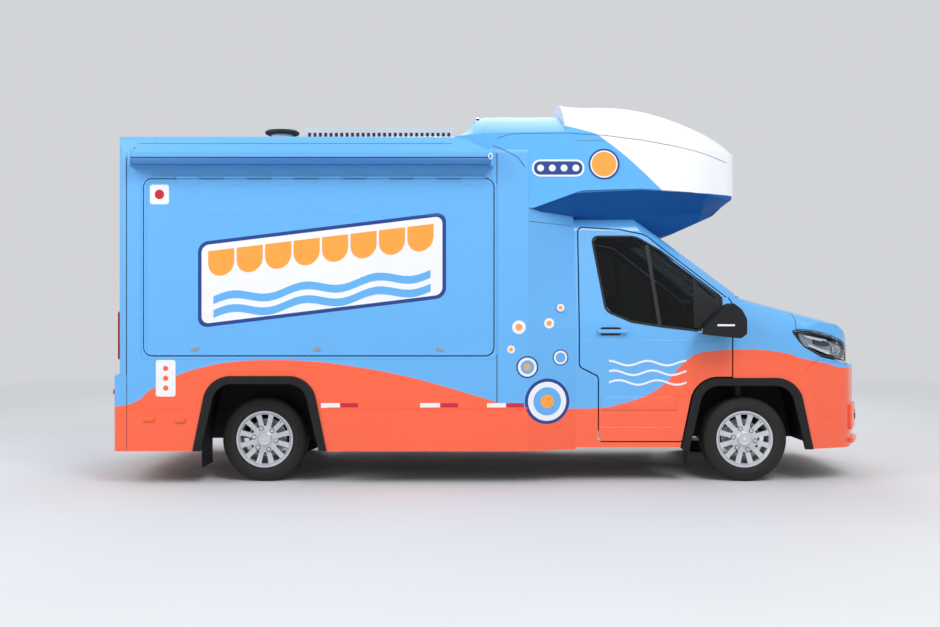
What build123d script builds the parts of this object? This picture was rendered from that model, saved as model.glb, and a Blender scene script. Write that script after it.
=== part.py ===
from build123d import *
import math
import os

# A food truck on a light van cab, in millimetres.
# +X is forwards, -Y is the vehicle's right side with the serving hatch, +Z is up.
# The origin is on the ground, under the middle of the whole vehicle.

os.makedirs("parts", exist_ok=True)

# Whole vehicle
overall_length = 5995.0
wheelbase = 3760.0
front_overhang = 985.0
skirt_bottom_z = 262.0
seat_gap = 0.3
panel_gap = 6.0
pin_clearance = 0.05
front_x = overall_length / 2
rear_x = -overall_length / 2
front_axle_x = front_x - front_overhang
rear_axle_x = front_axle_x - wheelbase

# Tyres and rims
tyre_width = 195.0
tyre_aspect = 0.65
rim_diameter = 406.4
rim_width = 165.0
rim_flange_height = 18.0
wheel_track = 1740.0
wheel_window_count = 12
wheel_nut_count = 6
nut_circle_radius = 86.0
nut_hole_radius = 17.0
wheel_cap_radius = 53.0
stub_axle_radius = 25.0
brake_disc_radius = 150.0
rim_radius = rim_diameter / 2
tyre_radius = rim_radius + tyre_width * tyre_aspect
wheel_y = wheel_track / 2
axle_z = tyre_radius

# Cab
cab_half_width = 1031.0
cab_rear_x = 679.0
cab_sill_z = 277.0
cab_floor_z = 500.0
cab_floor_thickness = 20.0
cab_wall = 45.0
door_thickness = 70.0
door_gap = 10.0
bonnet_thickness = 28.0
fender_thickness = 8.0
glass_thickness = 6.0
glass_inset = 6.0
cowl_x = 2075.0
cowl_z = 1440.0
windscreen_top_x = 1330.0
windscreen_top_z = 1990.0
bonnet_slope_x = 2640.0
bonnet_slope_z = 1290.0

# Kitchen box
box_half_width = 1150.0
box_front_x = 304.0
box_rear_x = -2835.0
box_wall = 35.0
box_corner_radius = 65.0
box_shoulder_z = 2557.0
box_roof_edge_z = 2680.0
box_roof_crown_z = 2725.0
box_roof_edge_inset = 55.0
skirt_top_z = 592.0
floor_z = 480.0
floor_thickness = 40.0
rear_wall_joint_x = box_rear_x + box_corner_radius + 5.0

# Serving hatch and its hinge
hatch_rear_x = -2631.0
hatch_front_x = 41.0
hatch_bottom_z = 994.0
hatch_top_z = 2343.0
hatch_corner_radius = 65.0
hatch_thickness = 30.0
hatch_gap = 8.0
hinge_knuckle_count = 14
hinge_knuckle_radius = 9.0
hinge_pin_radius = 4.0
hinge_knuckle_gap = 3.0
hinge_offset_y = 12.0
hinge_leaf_thickness = 2.5

# Awning cassette
awning_rear_x = -2715.0
awning_front_x = 37.0
awning_bottom_z = 2427.0
awning_height = 130.0
awning_depth = 125.0

# Wheel arches, measured from each axle
arch_foot_half = 512.0
arch_foot_z = 262.0
arch_top_half = 395.0
arch_corner_radius = 210.0
front_arch_top_z = 815.0
rear_arch_top_z = 837.0
arch_trim_width = 60.0
arch_trim_proud = 12.0
arch_trim_thickness = 24.0

# Chassis
rail_y = 440.0
rail_width = 60.0
rail_bottom_z = 340.0
rail_height = 100.0
rail_rear_x = -2790.0
rail_front_x = 2790.0
torsion_tube_offset = 190.0
torsion_tube_half = 50.0
kingpin_y = 730.0
kingpin_radius = 30.0

# Doors: the hinge axis lies inboard of the skin and behind the front edge
cab_door_front_x = 1894.0
cab_door_hinge_back = 20.0
cab_door_hinge_in = 15.0
cab_door_hinge_x = cab_door_front_x - cab_door_hinge_back
cab_door_hinge_y = cab_half_width - cab_door_hinge_in
rear_door_half_width = 400.0
rear_door_bottom_z = 486.0
rear_door_top_z = 2380.0
rear_door_hinge_out = 14.0
rear_door_hinge_y = rear_door_half_width + 5.0
bonnet_hinge_x = 2085.0
bonnet_hinge_z = 1375.0
bonnet_hinge_y = 600.0

# Corner tables: X or Y, Z or Y, corner radius
CAB_SIDE = [
    (cab_rear_x, cab_sill_z, 0), (2930, cab_sill_z, 30), (2940, 960, 60), (2870, 1140, 90),
    (bonnet_slope_x, bonnet_slope_z, 300), (cowl_x, cowl_z, 0), (windscreen_top_x, windscreen_top_z, 250),
    (1050, 2110, 200), (cab_rear_x, 2130, 0),
]
CAB_PLAN = [
    (cab_rear_x, -cab_half_width, 0), (2480, -cab_half_width, 250), (2800, -905, 200), (2920, -640, 150),
    (2955, 0, 2000), (2920, 640, 150), (2800, 905, 200), (2480, cab_half_width, 250),
    (cab_rear_x, cab_half_width, 0),
]
CAB_SECTION = [
    (cab_half_width, cab_sill_z, 0), (cab_half_width, 1200, 800), (905, 1997, 120), (830, 2080, 150),
    (0, 2125, 3000),
]
BONNET_SECTION = [
    (cab_half_width + 60, 0, 0), (cab_half_width + 60, 1000, 0), (cab_half_width + 1, 1060, 0),
    (cab_half_width + 1, 1392, 120), (650, 1432, 700), (0, cowl_z + 1, 3000),
]
WINDSCREEN_PLAN = [
    (-2600, -cab_half_width - 40, 0), (1640, -cab_half_width - 40, 0), (2010, -850, 140), (2065, -500, 1200),
    (cowl_x + 12, 0, 2500), (2065, 500, 1200), (2010, 850, 140), (1640, cab_half_width + 40, 0),
    (-2600, cab_half_width + 40, 0),
]
CAB_DOOR = [
    (714, 1990, 30), (1035, 1972, 150), (1235, 1930, 150), (1865, 1443, 60), (cab_door_front_x, 1400, 30),
    (cab_door_front_x, 700, 0), (1500, 326, 30), (862, 326, 30), (862, 830, 40), (714, 905, 40),
]
CAB_DOOR_WINDOW = [
    (826, 1912, 40), (1160, 1912, 180), (1350, 1800, 0), (1812, 1446, 30), (1812, 1168, 20), (1351, 1222, 300),
    (1120, 1258, 120), (925, 1340, 100),
]
HEADLAMP_SIDE = [
    (2345, 1190, 15), (2525, 1178, 100), (2680, 1142, 60), (2810, 1085, 30), (3000, 1040, 0), (3000, 918, 0),
    (2845, 922, 40), (2600, 975, 60), (2440, 1060, 30),
]
BUMPER_SIDE = [
    (2300, 200, 0), (2300, 745, 0), (2395, 775, 0), (2486, 893, 30), (2575, 952, 40), (2845, 912, 40),
    (3050, 900, 0), (3050, 200, 0),
]
BONNET_SIDE = [
    (cowl_x - 5, 1255, 0), (2335, 1200, 30), (2525, 1188, 100), (2685, 1150, 60), (2815, 1092, 30),
    (3050, 1040, 0), (3050, 1600, 0), (cowl_x - 5, 1600, 0),
]
BONNET_PLAN = [
    (cowl_x - 5, 760, 0), (2300, 760, 60), (2420, 1100, 0), (3050, 1100, 0),
]
# Over-cab pod stations: X, half width, height of the side crease, height of the crown
POD_REAR_STATIONS = [(-256, 1085, 2682, 2728), (-95, 1125, 2692, 2966), (-10, 1142, 2698, 2985),
                     (597, 1150, 2704, 2985)]
POD_FRONT_STATIONS = [(597, 1150, 2704, 3100), (1180, 1140, 2652, 3062), (1430, 1122, 2610, 3008),
                      (1680, 1090, 2556, 2916), (1960, 960, 2488, 2735), (2050, 820, 2440, 2560)]
POD_PLAN = [(-300, 1150, 0), (900, 1150, 900), (1640, 1085, 500), (1950, 860, 260), (2040, 400, 400),
            (2050, 0, 2000)]
POD_UNDERSIDE = [
    (-300, 2560, 0), (304, 2560, 0), (304, 2124, 0), (349, 2124, 60), (712, 2255, 200), (1177, 2272, 600),
    (1564, 2250, 400), (1900, 2212, 40), (2010, 2300, 160), (2050, 2480, 0), (2050, 3100, 0), (-300, 3100, 0),
]
POD_BELLY = [
    (box_front_x, 2320, 0), (box_front_x, 2088, 0), (cab_rear_x, 2062, 0), (1330, 1925, 0), (1479, 1950, 40),
    (1822, 2103, 100), (1950, 2230, 30), (1950, 2320, 0),
]
# Keel sections under the pod: X, then the corners of the right half as half width and height
POD_KEEL = [
    (box_front_x, [(1138, 2320), (1138, 2140), (1132, 2104), (900, 2080)]),
    (cab_rear_x, [(1122, 2320), (1122, 2240), (905, 2092), (760, 2050)]),
    (1180, [(1112, 2320), (1112, 2264), (860, 2090), (700, 1900)]),
    (1700, [(1050, 2320), (1050, 2244), (800, 2110), (620, 1900)]),
    (1960, [(850, 2320), (850, 2222), (650, 2190), (480, 2080)]),
]
# Sections of the joint between box and cab, from the box's end to the cab's
JOINT_SECTIONS = [
    (box_front_x, [(box_half_width, skirt_bottom_z, 0), (box_half_width, 1200, 0), (box_half_width, 2010, 0),
                   (box_half_width, 2250, 0)]),
    (cab_rear_x, [(cab_half_width, skirt_bottom_z, 0), (cab_half_width, 1200, 0), (906, 1997, 0), (790, 2250, 0)]),
]


def inset_corners(corners, amount):
    """Move each side of a cornered outline inwards and shrink its corner radii."""
    area = 0.0
    for index, here in enumerate(corners):
        before = corners[index - 1]
        area += before[0] * here[1] - here[0] * before[1]
    turn = 1.0 if area > 0 else -1.0
    moved = []
    for index, here in enumerate(corners):
        before = corners[index - 1]
        after = corners[(index + 1) % len(corners)]
        arriving = Vector(here[0] - before[0], here[1] - before[1]).normalized()
        leaving = Vector(after[0] - here[0], after[1] - here[1]).normalized()
        normal_in = Vector(-arriving.Y, arriving.X) * turn
        normal_out = Vector(-leaving.Y, leaving.X) * turn
        step = (normal_in + normal_out) * (amount / (1.0 + normal_in.dot(normal_out)))
        convex = turn * (arriving.X * leaving.Y - arriving.Y * leaving.X) > 0
        radius = here[2]
        if radius > 0:
            radius = max(radius - amount if convex else radius + amount, 0.0)
        moved.append((here[0] + step.X, here[1] + step.Y, radius))
    return moved


def outline(corners, inset=0.0):
    """Face of straight sides whose corners have the radii of the table."""
    if inset:
        corners = inset_corners(corners, inset)
    points = [(corner[0], corner[1]) for corner in corners]
    return make_face(FilletPolyline(*points, radius=[corner[2] for corner in corners], close=True).edges())


def both_halves(corners):
    """Complete the positive half of an outline that is symmetric about its second axis."""
    return list(corners) + [(-c[0], c[1], c[2]) for c in reversed(corners) if c[0] != 0]


def both_plan_halves(corners):
    """Complete the positive half of a plan outline that is symmetric about the X axis."""
    return list(corners) + [(c[0], -c[1], c[2]) for c in reversed(corners) if c[1] != 0]


def side_prism(face, y_low, y_high):
    """Extrude a face drawn in X and Z across the vehicle."""
    return Pos(0, y_high, 0) * extrude(Plane.XZ * face, y_high - y_low)


def plan_prism(face, z_low, z_high):
    """Extrude a face drawn in X and Y upwards."""
    return Pos(0, 0, z_low) * extrude(face, z_high - z_low)


def front_prism(face, x_low, x_high):
    """Extrude a face drawn in Y and Z along the vehicle."""
    return Pos(x_low, 0, 0) * extrude(Plane.YZ * face, x_high - x_low)


def block(x_low, x_high, y_low, y_high, z_low, z_high):
    """Box between two corners."""
    centre = ((x_low + x_high) / 2, (y_low + y_high) / 2, (z_low + z_high) / 2)
    return Pos(*centre) * Box(x_high - x_low, y_high - y_low, z_high - z_low)


def rod(start, end, radius):
    """Round bar between two points."""
    way = Vector(*end) - Vector(*start)
    return extrude(Plane(origin=start, z_dir=way) * Circle(radius), way.length)


def mirrored(solid):
    """The same piece on the other side of the vehicle."""
    return mirror(solid, about=Plane.XZ)


def solids_of(shape):
    """Flatten a shape into its solids."""
    return list(shape.solids())


def save(node, *shapes):
    """Write one node as a STEP file of its solids."""
    solids = [solid for shape in shapes for solid in solids_of(shape)]
    piece = solids[0] if len(solids) == 1 else Compound(children=solids)
    piece.label = node
    export_step(piece, f"parts/{node}.step")


# Cab envelope, from which every cab panel is cut
def cab_envelope(inset):
    """Outer form of the cab, moved inwards by inset."""
    body = side_prism(outline(CAB_SIDE, inset), -1200, 1200)
    body = body & plan_prism(outline(CAB_PLAN, inset), 0, 2400)
    body = body & front_prism(outline(both_halves(CAB_SECTION), inset), 300, 3200)
    slope = Vector(bonnet_slope_x - cowl_x, 0, bonnet_slope_z - cowl_z)
    bonnet_start_x = 1960.0
    rise = (bonnet_start_x - cowl_x) * slope.Z / slope.X
    bonnet_face = Pos(bonnet_start_x, 0, rise) * (Plane.YZ * outline(both_halves(BONNET_SECTION), inset))
    bonnet_form = extrude(bonnet_face, 1150, dir=slope.normalized())
    body = body - (block(bonnet_start_x, 3100, -1300, 1300, 1000, 1600) - bonnet_form)
    lean = Vector(windscreen_top_x - cowl_x, 0, windscreen_top_z - cowl_z)
    screen_form = extrude(Pos(0, 0, cowl_z) * outline(WINDSCREEN_PLAN, inset), 1200, dir=lean.normalized())
    body = body - (block(500, 2400, -1300, 1300, cowl_z, 2400) - screen_form)
    return body.solids().sort_by(SortBy.VOLUME)[-1]


cab_outer = cab_envelope(0)
cab_seat = cab_envelope(-seat_gap)
cab_behind_fender = cab_envelope(fender_thickness)
cab_behind_fender_seat = cab_envelope(fender_thickness + seat_gap)
cab_behind_bonnet = cab_envelope(bonnet_thickness)
cab_behind_wall = cab_envelope(cab_wall)
cab_behind_door = cab_envelope(door_thickness)
cab_glass_outer = cab_envelope(glass_inset)
cab_glass_inner = cab_envelope(glass_inset + glass_thickness)


# Wheel arches
def arch_prism(axle_x, top_z, grow, y_low, y_high):
    """Opening of a wheel arch, grown by an amount all round."""
    corners = [
        (axle_x - arch_foot_half - grow, arch_foot_z - 200, 0),
        (axle_x - arch_foot_half - grow, arch_foot_z, 0),
        (axle_x - arch_top_half - grow, top_z + grow, arch_corner_radius + grow),
        (axle_x + arch_top_half + grow, top_z + grow, arch_corner_radius + grow),
        (axle_x + arch_foot_half + grow, arch_foot_z, 0),
        (axle_x + arch_foot_half + grow, arch_foot_z - 200, 0),
    ]
    return side_prism(outline(corners), y_low, y_high)


front_arch_body = arch_prism(front_axle_x, front_arch_top_z, -arch_trim_width / 3, -1300, 1300)
front_arch_door = arch_prism(front_axle_x, front_arch_top_z, door_gap, -1300, 1300)
rear_arch_body = arch_prism(rear_axle_x, rear_arch_top_z, -arch_trim_width / 3, -1300, 1300)


def arch_trim(axle_x, top_z, skin_y):
    """Right-hand arch moulding that stands proud of the skin."""
    flange = arch_prism(axle_x, top_z, 0, -skin_y - arch_trim_proud, -skin_y - seat_gap)
    lip = arch_prism(axle_x, top_z, -arch_trim_width / 3 - seat_gap, -skin_y - arch_trim_proud,
                     -skin_y + arch_trim_thickness)
    opening = arch_prism(axle_x, top_z, -arch_trim_width, -1300, -900)
    return (flange + lip - opening) & block(axle_x - 700, axle_x + 700, -1300, -900, arch_foot_z, 1000)


# Cab panels
WINDSCREEN_FRONT = both_halves([(790, 1478, 60), (690, 1985, 60)])
windscreen_opening = front_prism(outline(WINDSCREEN_FRONT), 1250, 2200)
windscreen_pane = front_prism(outline(WINDSCREEN_FRONT, seat_gap), 1250, 2200)

door_prism = side_prism(outline(CAB_DOOR), -1200, -600) - front_arch_door
door_opening = side_prism(outline(CAB_DOOR, -door_gap), -1200, -600) + (front_arch_door & block(
    1300, cab_door_front_x + door_gap, -1200, -600, cab_sill_z, 900))
window_prism = side_prism(outline(CAB_DOOR_WINDOW), -1200, -600)
window_pane = side_prism(outline(CAB_DOOR_WINDOW, seat_gap), -1200, -600)

bonnet_region = plan_prism(outline(both_plan_halves(BONNET_PLAN)), 900, 1600)
bonnet_region = bonnet_region & side_prism(outline(BONNET_SIDE), -1200, 1200)
bonnet_cut = plan_prism(outline(both_plan_halves(BONNET_PLAN), -panel_gap), 900, 1600)
bonnet_cut = bonnet_cut & side_prism(outline(BONNET_SIDE, -panel_gap), -1200, 1200)
headlamp_inner_y = 463.0
headlamp_region = side_prism(outline(HEADLAMP_SIDE), -1200, -headlamp_inner_y)
headlamp_cut = side_prism(outline(HEADLAMP_SIDE, -seat_gap), -1200, -headlamp_inner_y + seat_gap)
bumper_region = side_prism(outline(BUMPER_SIDE), -1200, 1200)
bumper_cut = side_prism(outline(BUMPER_SIDE, -seat_gap), -1200, 1200)


# The roof panel is a pressing of its own that ends in a seam at the head of the pillars
cab_roof_seam_z = 1965.0


def cab_body():
    """Roof, pillars, sills and cowl, as thick as the real box sections."""
    shell = (cab_outer - cab_behind_wall) & block(cab_rear_x, cowl_x + 30, -1100, 1100, cab_sill_z, 2200)
    shell = shell - block(cab_rear_x - 10, 2200, -cab_half_width + 95, cab_half_width - 95, 200, cab_floor_z)
    shell = shell - windscreen_opening - door_opening - mirrored(door_opening)
    shell = shell - bonnet_cut - front_arch_body
    shell = shell - block(cab_rear_x - 10, cab_rear_x + cab_wall + 10, -860, 860, cab_floor_z, 2020)
    shell = shell - block(cab_door_front_x + door_gap, 3000, -1100, 1100, 200, cowl_z - 30)
    shell = shell - block(scuttle_x, 2120, -scuttle_half, scuttle_half, scuttle_z, cowl_z + 12)
    shell = shell + block(scuttle_x - 20, scuttle_x, -scuttle_half, scuttle_half, scuttle_z - 14, cowl_z + 15)
    shell = shell + block(scuttle_x - 20, cowl_x - 12, -scuttle_half, scuttle_half, scuttle_z - 14, scuttle_z)
    for side in (-1, 1):
        shell = shell + bonnet_ears(side * bonnet_hinge_y) + hinge_pillar(side)
    return shell


# Scuttle: the recess under the rear edge of the bonnet, which carries its hinges
scuttle_x = 2010.0
scuttle_half = 768.0
scuttle_z = 1366.0
bonnet_pin_radius = 6.0
bonnet_lug_radius = 13.0
bonnet_lug_half = 6.0


def bonnet_ears(y_middle):
    """Two ears on the scuttle and the pin between them."""
    ears = Part()
    for side in (-1, 1):
        y_pair = sorted((y_middle + side * (bonnet_lug_half + seat_gap), y_middle + side * (bonnet_lug_half + 7)))
        ears = ears + block(cowl_x - 40, bonnet_hinge_x + 12, *y_pair, scuttle_z - 14, scuttle_z)
        ears = ears + block(bonnet_hinge_x - 14, bonnet_hinge_x + 12, *y_pair, scuttle_z - 14, bonnet_hinge_z + 12)
    pin = rod((bonnet_hinge_x, y_middle - bonnet_lug_half - 7, bonnet_hinge_z),
              (bonnet_hinge_x, y_middle + bonnet_lug_half + 7, bonnet_hinge_z), bonnet_pin_radius)
    return ears + pin


def bonnet_lug(y_middle):
    """Lug under the bonnet that turns on the scuttle's pin."""
    barrel = rod((bonnet_hinge_x, y_middle - bonnet_lug_half, bonnet_hinge_z),
                 (bonnet_hinge_x, y_middle + bonnet_lug_half, bonnet_hinge_z), bonnet_lug_radius)
    web = block(bonnet_hinge_x - 10, bonnet_hinge_x + 10, y_middle - bonnet_lug_half, y_middle + bonnet_lug_half,
                bonnet_hinge_z, cowl_z - 26)
    bore = rod((bonnet_hinge_x, y_middle - 30, bonnet_hinge_z), (bonnet_hinge_x, y_middle + 30, bonnet_hinge_z),
               bonnet_pin_radius + pin_clearance)
    return barrel + web - bore


# Cab door hinges: a fixed arm from the pillar reaches a pin inside a pocket of the door
door_hinge_heights = (985.0, 1290.0)
door_pin_radius = 5.0
door_knuckle_radius = 9.0
door_arm_half = 7.0
door_pocket_half = 30.0
door_skin = 5.0
pillar_x = cab_door_front_x + 18.0


def hinge_pillar(side):
    """Post in front of the door with the fixed arms and pins of its hinges."""
    inner, outer = side * 905, side * (cab_half_width - fender_thickness - seat_gap)
    axis_y = side * cab_door_hinge_y
    arm_y = side * (cab_half_width - door_thickness - 24)
    post = block(pillar_x, 1940 - seat_gap, *sorted((inner, outer)), 900 + seat_gap, cowl_z - 29)
    post = post & cab_behind_fender_seat
    for height in door_hinge_heights:
        low, high = height - door_arm_half, height + door_arm_half
        inward = block(cab_door_hinge_x - 5, cab_door_hinge_x + 5, *sorted((axis_y, arm_y)), low, high)
        forward = block(cab_door_hinge_x - 5, pillar_x + 5, *sorted((arm_y, arm_y + side * 12)), low, high)
        ring = Pos(cab_door_hinge_x, axis_y, height) * Cylinder(door_knuckle_radius - 1, 2 * door_arm_half)
        pin = Pos(cab_door_hinge_x, axis_y, height) * Cylinder(door_pin_radius, 2 * door_pocket_half - 12)
        post = post + inward + forward + ring + pin
    return post


def door_pockets(door):
    """Cut the hinge pockets into the right door and add its knuckles."""
    for height in door_hinge_heights:
        door = door - block(cab_door_hinge_x - 16, cab_door_front_x + 20, -cab_half_width + door_skin,
                            -cab_half_width + door_thickness + 20, height - door_pocket_half,
                            height + door_pocket_half)
        for side in (-1, 1):
            low = height + side * (door_arm_half + seat_gap)
            high = height + side * (door_pocket_half + 3)
            place = Pos(cab_door_hinge_x, -cab_door_hinge_y, (low + high) / 2)
            door = door + place * Cylinder(door_knuckle_radius, abs(high - low))
        door = door - Pos(cab_door_hinge_x, -cab_door_hinge_y, height) * Cylinder(
            door_pin_radius + pin_clearance, 2 * door_pocket_half - 11)
    return door


cab = cab_body()
roof_space = block(cab_rear_x, windscreen_top_x + 100, -1100, 1100, cab_roof_seam_z + seat_gap, 2200)
save("cab_roof", cab & roof_space)
save("cab_shell", cab - Pos(0, 0, -seat_gap) * roof_space)


def fender():
    """Right front fender skin, from the door to the lamp and the bumper."""
    skin = cab_outer - cab_behind_fender
    skin = skin & block(cab_door_front_x + door_gap, 2960, -1100, -600, cab_sill_z, cowl_z - 30)
    skin = skin - bonnet_cut - headlamp_cut - bumper_cut
    skin = skin - arch_prism(front_axle_x, front_arch_top_z, seat_gap, -1300, 0)
    return skin.solids().sort_by(SortBy.VOLUME)[-1]


right_fender = fender()
save("front_fenders", right_fender, mirrored(right_fender))

bonnet = (cab_outer - cab_behind_bonnet) & bonnet_region
bonnet = bonnet.solids().sort_by(SortBy.VOLUME)[-1]
save("bonnet", bonnet + bonnet_lug(-bonnet_hinge_y) + bonnet_lug(bonnet_hinge_y))

headlamp = (cab_outer - cab_envelope(60)) & headlamp_region
headlamp = headlamp.solids().sort_by(SortBy.VOLUME)[-1]
save("headlamps", headlamp, mirrored(headlamp))

windscreen = (cab_glass_outer - cab_glass_inner) & windscreen_pane
save("windscreen", windscreen.solids().sort_by(SortBy.VOLUME)[-1])


def cab_door():
    """Right cab door with its window cut out, and its glass."""
    section = [(cab_half_width, cab_sill_z - 300, 0)] + CAB_SECTION[1:]
    cabin_side = front_prism(outline(both_halves(section), door_thickness), 600, 1640)
    door = ((cab_outer - cab_behind_door - cabin_side) & door_prism) - window_prism
    door = door_pockets(door.solids().sort_by(SortBy.VOLUME)[-1])
    glass = ((cab_glass_outer - cab_glass_inner) & window_pane).solids().sort_by(SortBy.VOLUME)[-1]
    return door, glass


right_door, right_glass = cab_door()
save("cab_door_right", right_door)
save("cab_door_left", mirrored(right_door))
save("cab_door_window_right", right_glass)
save("cab_door_window_left", mirrored(right_glass))

# Front bumper and grille
BUMPER_PLAN = [
    (2250, cab_half_width, 0), (2530, cab_half_width, 180), (2840, 920, 200), (2965, 650, 180),
    (front_x, 300, 900),
]
bumper_wall = 30.0
grille_half_width = 430.0
grille_bottom_z = 610.0
grille_top_z = 1010.0
grille_flare = 25.0
grille_rim = 20.0
grille_bar_count = 5
grille_bar_height = 14.0
grille_depth = 40.0
intake_half_width = 520.0
intake_bottom_z = 360.0
intake_top_z = 500.0


def front_bumper():
    """Bumper skin with its upper grille opening and lower intake."""
    outer = plan_prism(outline(both_plan_halves(BUMPER_PLAN)), cab_sill_z - 12, 960)
    inner = plan_prism(outline(both_plan_halves(BUMPER_PLAN), bumper_wall), 200, 960)
    skin = (outer - inner) & bumper_region
    skin = skin - arch_prism(front_axle_x, front_arch_top_z, seat_gap, -1300, 1300)
    upper = [(grille_half_width, grille_bottom_z, 40), (grille_half_width + grille_flare, grille_top_z, 0)]
    lower = [(intake_half_width, intake_bottom_z, 30), (intake_half_width - 40, intake_top_z, 30)]
    skin = skin - front_prism(outline(both_halves(upper)), 2700, 3100)
    skin = skin - front_prism(outline(both_halves(lower)), 2700, 3100)
    return skin.solids().sort_by(SortBy.VOLUME)[-1]


save("front_bumper", front_bumper())


def grille():
    """Curved frame with level bars, set into the bumper's opening."""
    outer = plan_prism(outline(both_plan_halves(BUMPER_PLAN), 6), 200, 1100)
    inner = plan_prism(outline(both_plan_halves(BUMPER_PLAN), 6 + grille_depth), 200, 1100)
    band = outer - inner
    corners = both_halves([(grille_half_width, grille_bottom_z, 40),
                           (grille_half_width + grille_flare, grille_top_z, 20)])
    frame_face = outline(corners, seat_gap)
    hole_face = outline(corners, grille_rim)
    frame = band & front_prism(frame_face, 2700, 3100)
    frame = frame - front_prism(hole_face, 2700, 3100)
    pitch = (grille_top_z - grille_bottom_z - 2 * grille_rim) / (grille_bar_count + 1)
    for index in range(grille_bar_count):
        bar_z = grille_bottom_z + grille_rim + pitch * (index + 1)
        bar = block(2700, 3100, -grille_half_width - 5, grille_half_width + 5,
                    bar_z - grille_bar_height / 2, bar_z + grille_bar_height / 2)
        frame = frame + (band & bar & front_prism(frame_face, 2700, 3100))
    return frame


save("grille", grille())


# Cab floor, firewall and bulkhead
def cab_floor():
    """Floor pan, toe board and the bulkhead behind the seats."""
    bottom = cab_floor_z - cab_floor_thickness
    half = cab_half_width - 100
    pan = block(cab_rear_x, 1560, -half, half, bottom, cab_floor_z)
    tunnel = block(1540, 1960, -540, 540, bottom, cab_floor_z)
    firewall = block(1940, 1960, -540, 540, bottom, 1290)
    toe_step = block(1540, 1560, -half, half, bottom, 900)
    shelf = block(1540, 1960, -half, half, 880, 900)
    upper = block(1940, 1960, -half, half, 880, 1290)
    bulkhead = block(cab_rear_x, cab_rear_x + 25, -855, 855, cab_floor_z, 2015)
    return pan + tunnel + toe_step + firewall + shelf + upper + bulkhead - block(
        1560, 1940, -540, 540, cab_floor_z, 880) - block(1530, 1570, -500, 500, cab_floor_z, 870)


save("cab_floor", cab_floor())


def dashboard():
    """Dashboard with its binnacle, steering column and wheel on the left side."""
    face = outline([(1620, 1250, 20), (1600, 1120, 60), (1700, 950, 40), (1940 - seat_gap, 920, 0),
                    (1940 - seat_gap, 1330, 0), (1800, 1345, 80)])
    body = side_prism(face, -900, 900)
    column = rod((1640, 400, 1130), (1480, 400, 1190), 25)
    wheel_plane = Plane(origin=(1470, 400, 1194), z_dir=(-0.55, 0, 0.835))
    rim = extrude(wheel_plane * (Circle(190) - Circle(168)), 22)
    spokes = extrude(wheel_plane * (Rectangle(350, 36) + Rectangle(36, 350) + Circle(55)), 18)
    return body + column + rim + spokes


save("dashboard", dashboard())


def seat(y_middle):
    """Seat with its base box, cushion, back and head rest as one plain form."""
    base = block(950, 1330, y_middle - 200, y_middle + 200, cab_floor_z + seat_gap, 760)
    side = outline([(900, 760, 0), (1400, 760, 60), (1400, 880, 60), (1060, 890, 40), (900, 1480, 50),
                    (790, 1480, 50), (900, 860, 0)])
    cushion = side_prism(side, y_middle - 245, y_middle + 245)
    rest = block(800, 890, y_middle - 130, y_middle + 130, 1475, 1660)
    return base + cushion + rest


save("seats", seat(-430), seat(430))

# Mirrors
mirror_out_y = 1290.0
mirror_in_y = 1085.0
MIRROR_SIDE = [
    (1608, 1190, 12), (1631, 1157, 20), (1895, 1127, 30), (1952, 1165, 40), (1952, 1262, 60), (1905, 1345, 80),
    (1838, 1397, 20), (1720, 1310, 200),
]
MIRROR_PLAN = [
    (1600, -mirror_in_y, 0), (1876, -mirror_in_y, 15), (1953, -1212, 30), (1953, -mirror_out_y, 40),
    (1600, -mirror_out_y, 60),
]


def side_mirror():
    """Right door mirror: arm, and a rounded head that tapers away from the fender."""
    head = side_prism(outline(MIRROR_SIDE), -mirror_out_y, -mirror_in_y)
    head = head & plan_prism(outline(MIRROR_PLAN), 1000, 1500)
    arm = block(1818, 1866, -mirror_in_y - 10, -cab_half_width + 30, 1160, 1215) - cab_seat
    return head + arm


right_mirror = side_mirror()
save("side_mirror_right", right_mirror)
save("side_mirror_left", mirrored(right_mirror))


# Kitchen box
def box_envelope(inset):
    """Outer form of the kitchen box, moved inwards by inset."""
    half = box_half_width - inset
    section = [(half, 100, 0), (half, box_shoulder_z, 80),
               (box_half_width - box_roof_edge_inset - inset, box_roof_edge_z - inset, 60),
               (0, box_roof_crown_z - inset, 3000)]
    form = front_prism(outline(both_halves(section)), box_rear_x - 100, box_front_x)
    plan = [(box_front_x + 100, -half, 0), (box_rear_x + inset, -half, box_corner_radius - inset),
            (box_rear_x + inset, half, box_corner_radius - inset), (box_front_x + 100, half, 0)]
    return form & plan_prism(outline(plan), 100, 2900)


box_outer = box_envelope(0)
box_shell = box_outer - box_envelope(box_wall)
box_middle = (rear_wall_joint_x, box_front_x)


def hatch_outline(grow):
    """Serving hatch panel outline, grown by an amount."""
    corners = [
        (hatch_rear_x - grow, hatch_bottom_z - grow, hatch_corner_radius + grow),
        (hatch_rear_x - grow, hatch_top_z + grow, hatch_corner_radius + grow),
        (hatch_front_x + grow, hatch_top_z + grow, hatch_corner_radius + grow),
        (hatch_front_x + grow, hatch_bottom_z - grow, hatch_corner_radius + grow),
    ]
    return outline(corners)


hatch_hinge_y = -box_half_width - hinge_offset_y
hatch_hinge_z = hatch_top_z + hatch_gap + 4


def right_wall():
    """Wall with the serving hatch opening."""
    wall = box_shell & block(*box_middle, -1300, -1000, skirt_top_z, box_shoulder_z)
    return wall - side_prism(hatch_outline(hatch_gap), -1300, -1000) - rear_arch_body


def left_wall():
    """Blind wall with a sliding window."""
    wall = box_shell & block(*box_middle, 1000, 1300, skirt_top_z, box_shoulder_z)
    return wall - left_window_prism(0) - rear_arch_body


def left_window_prism(inset):
    """Opening of the window in the left wall."""
    corners = [(-1500, 1250, 60), (-1500, 1800, 60), (-600, 1800, 60), (-600, 1250, 60)]
    return side_prism(outline(corners, inset), 1000, 1300)


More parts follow.
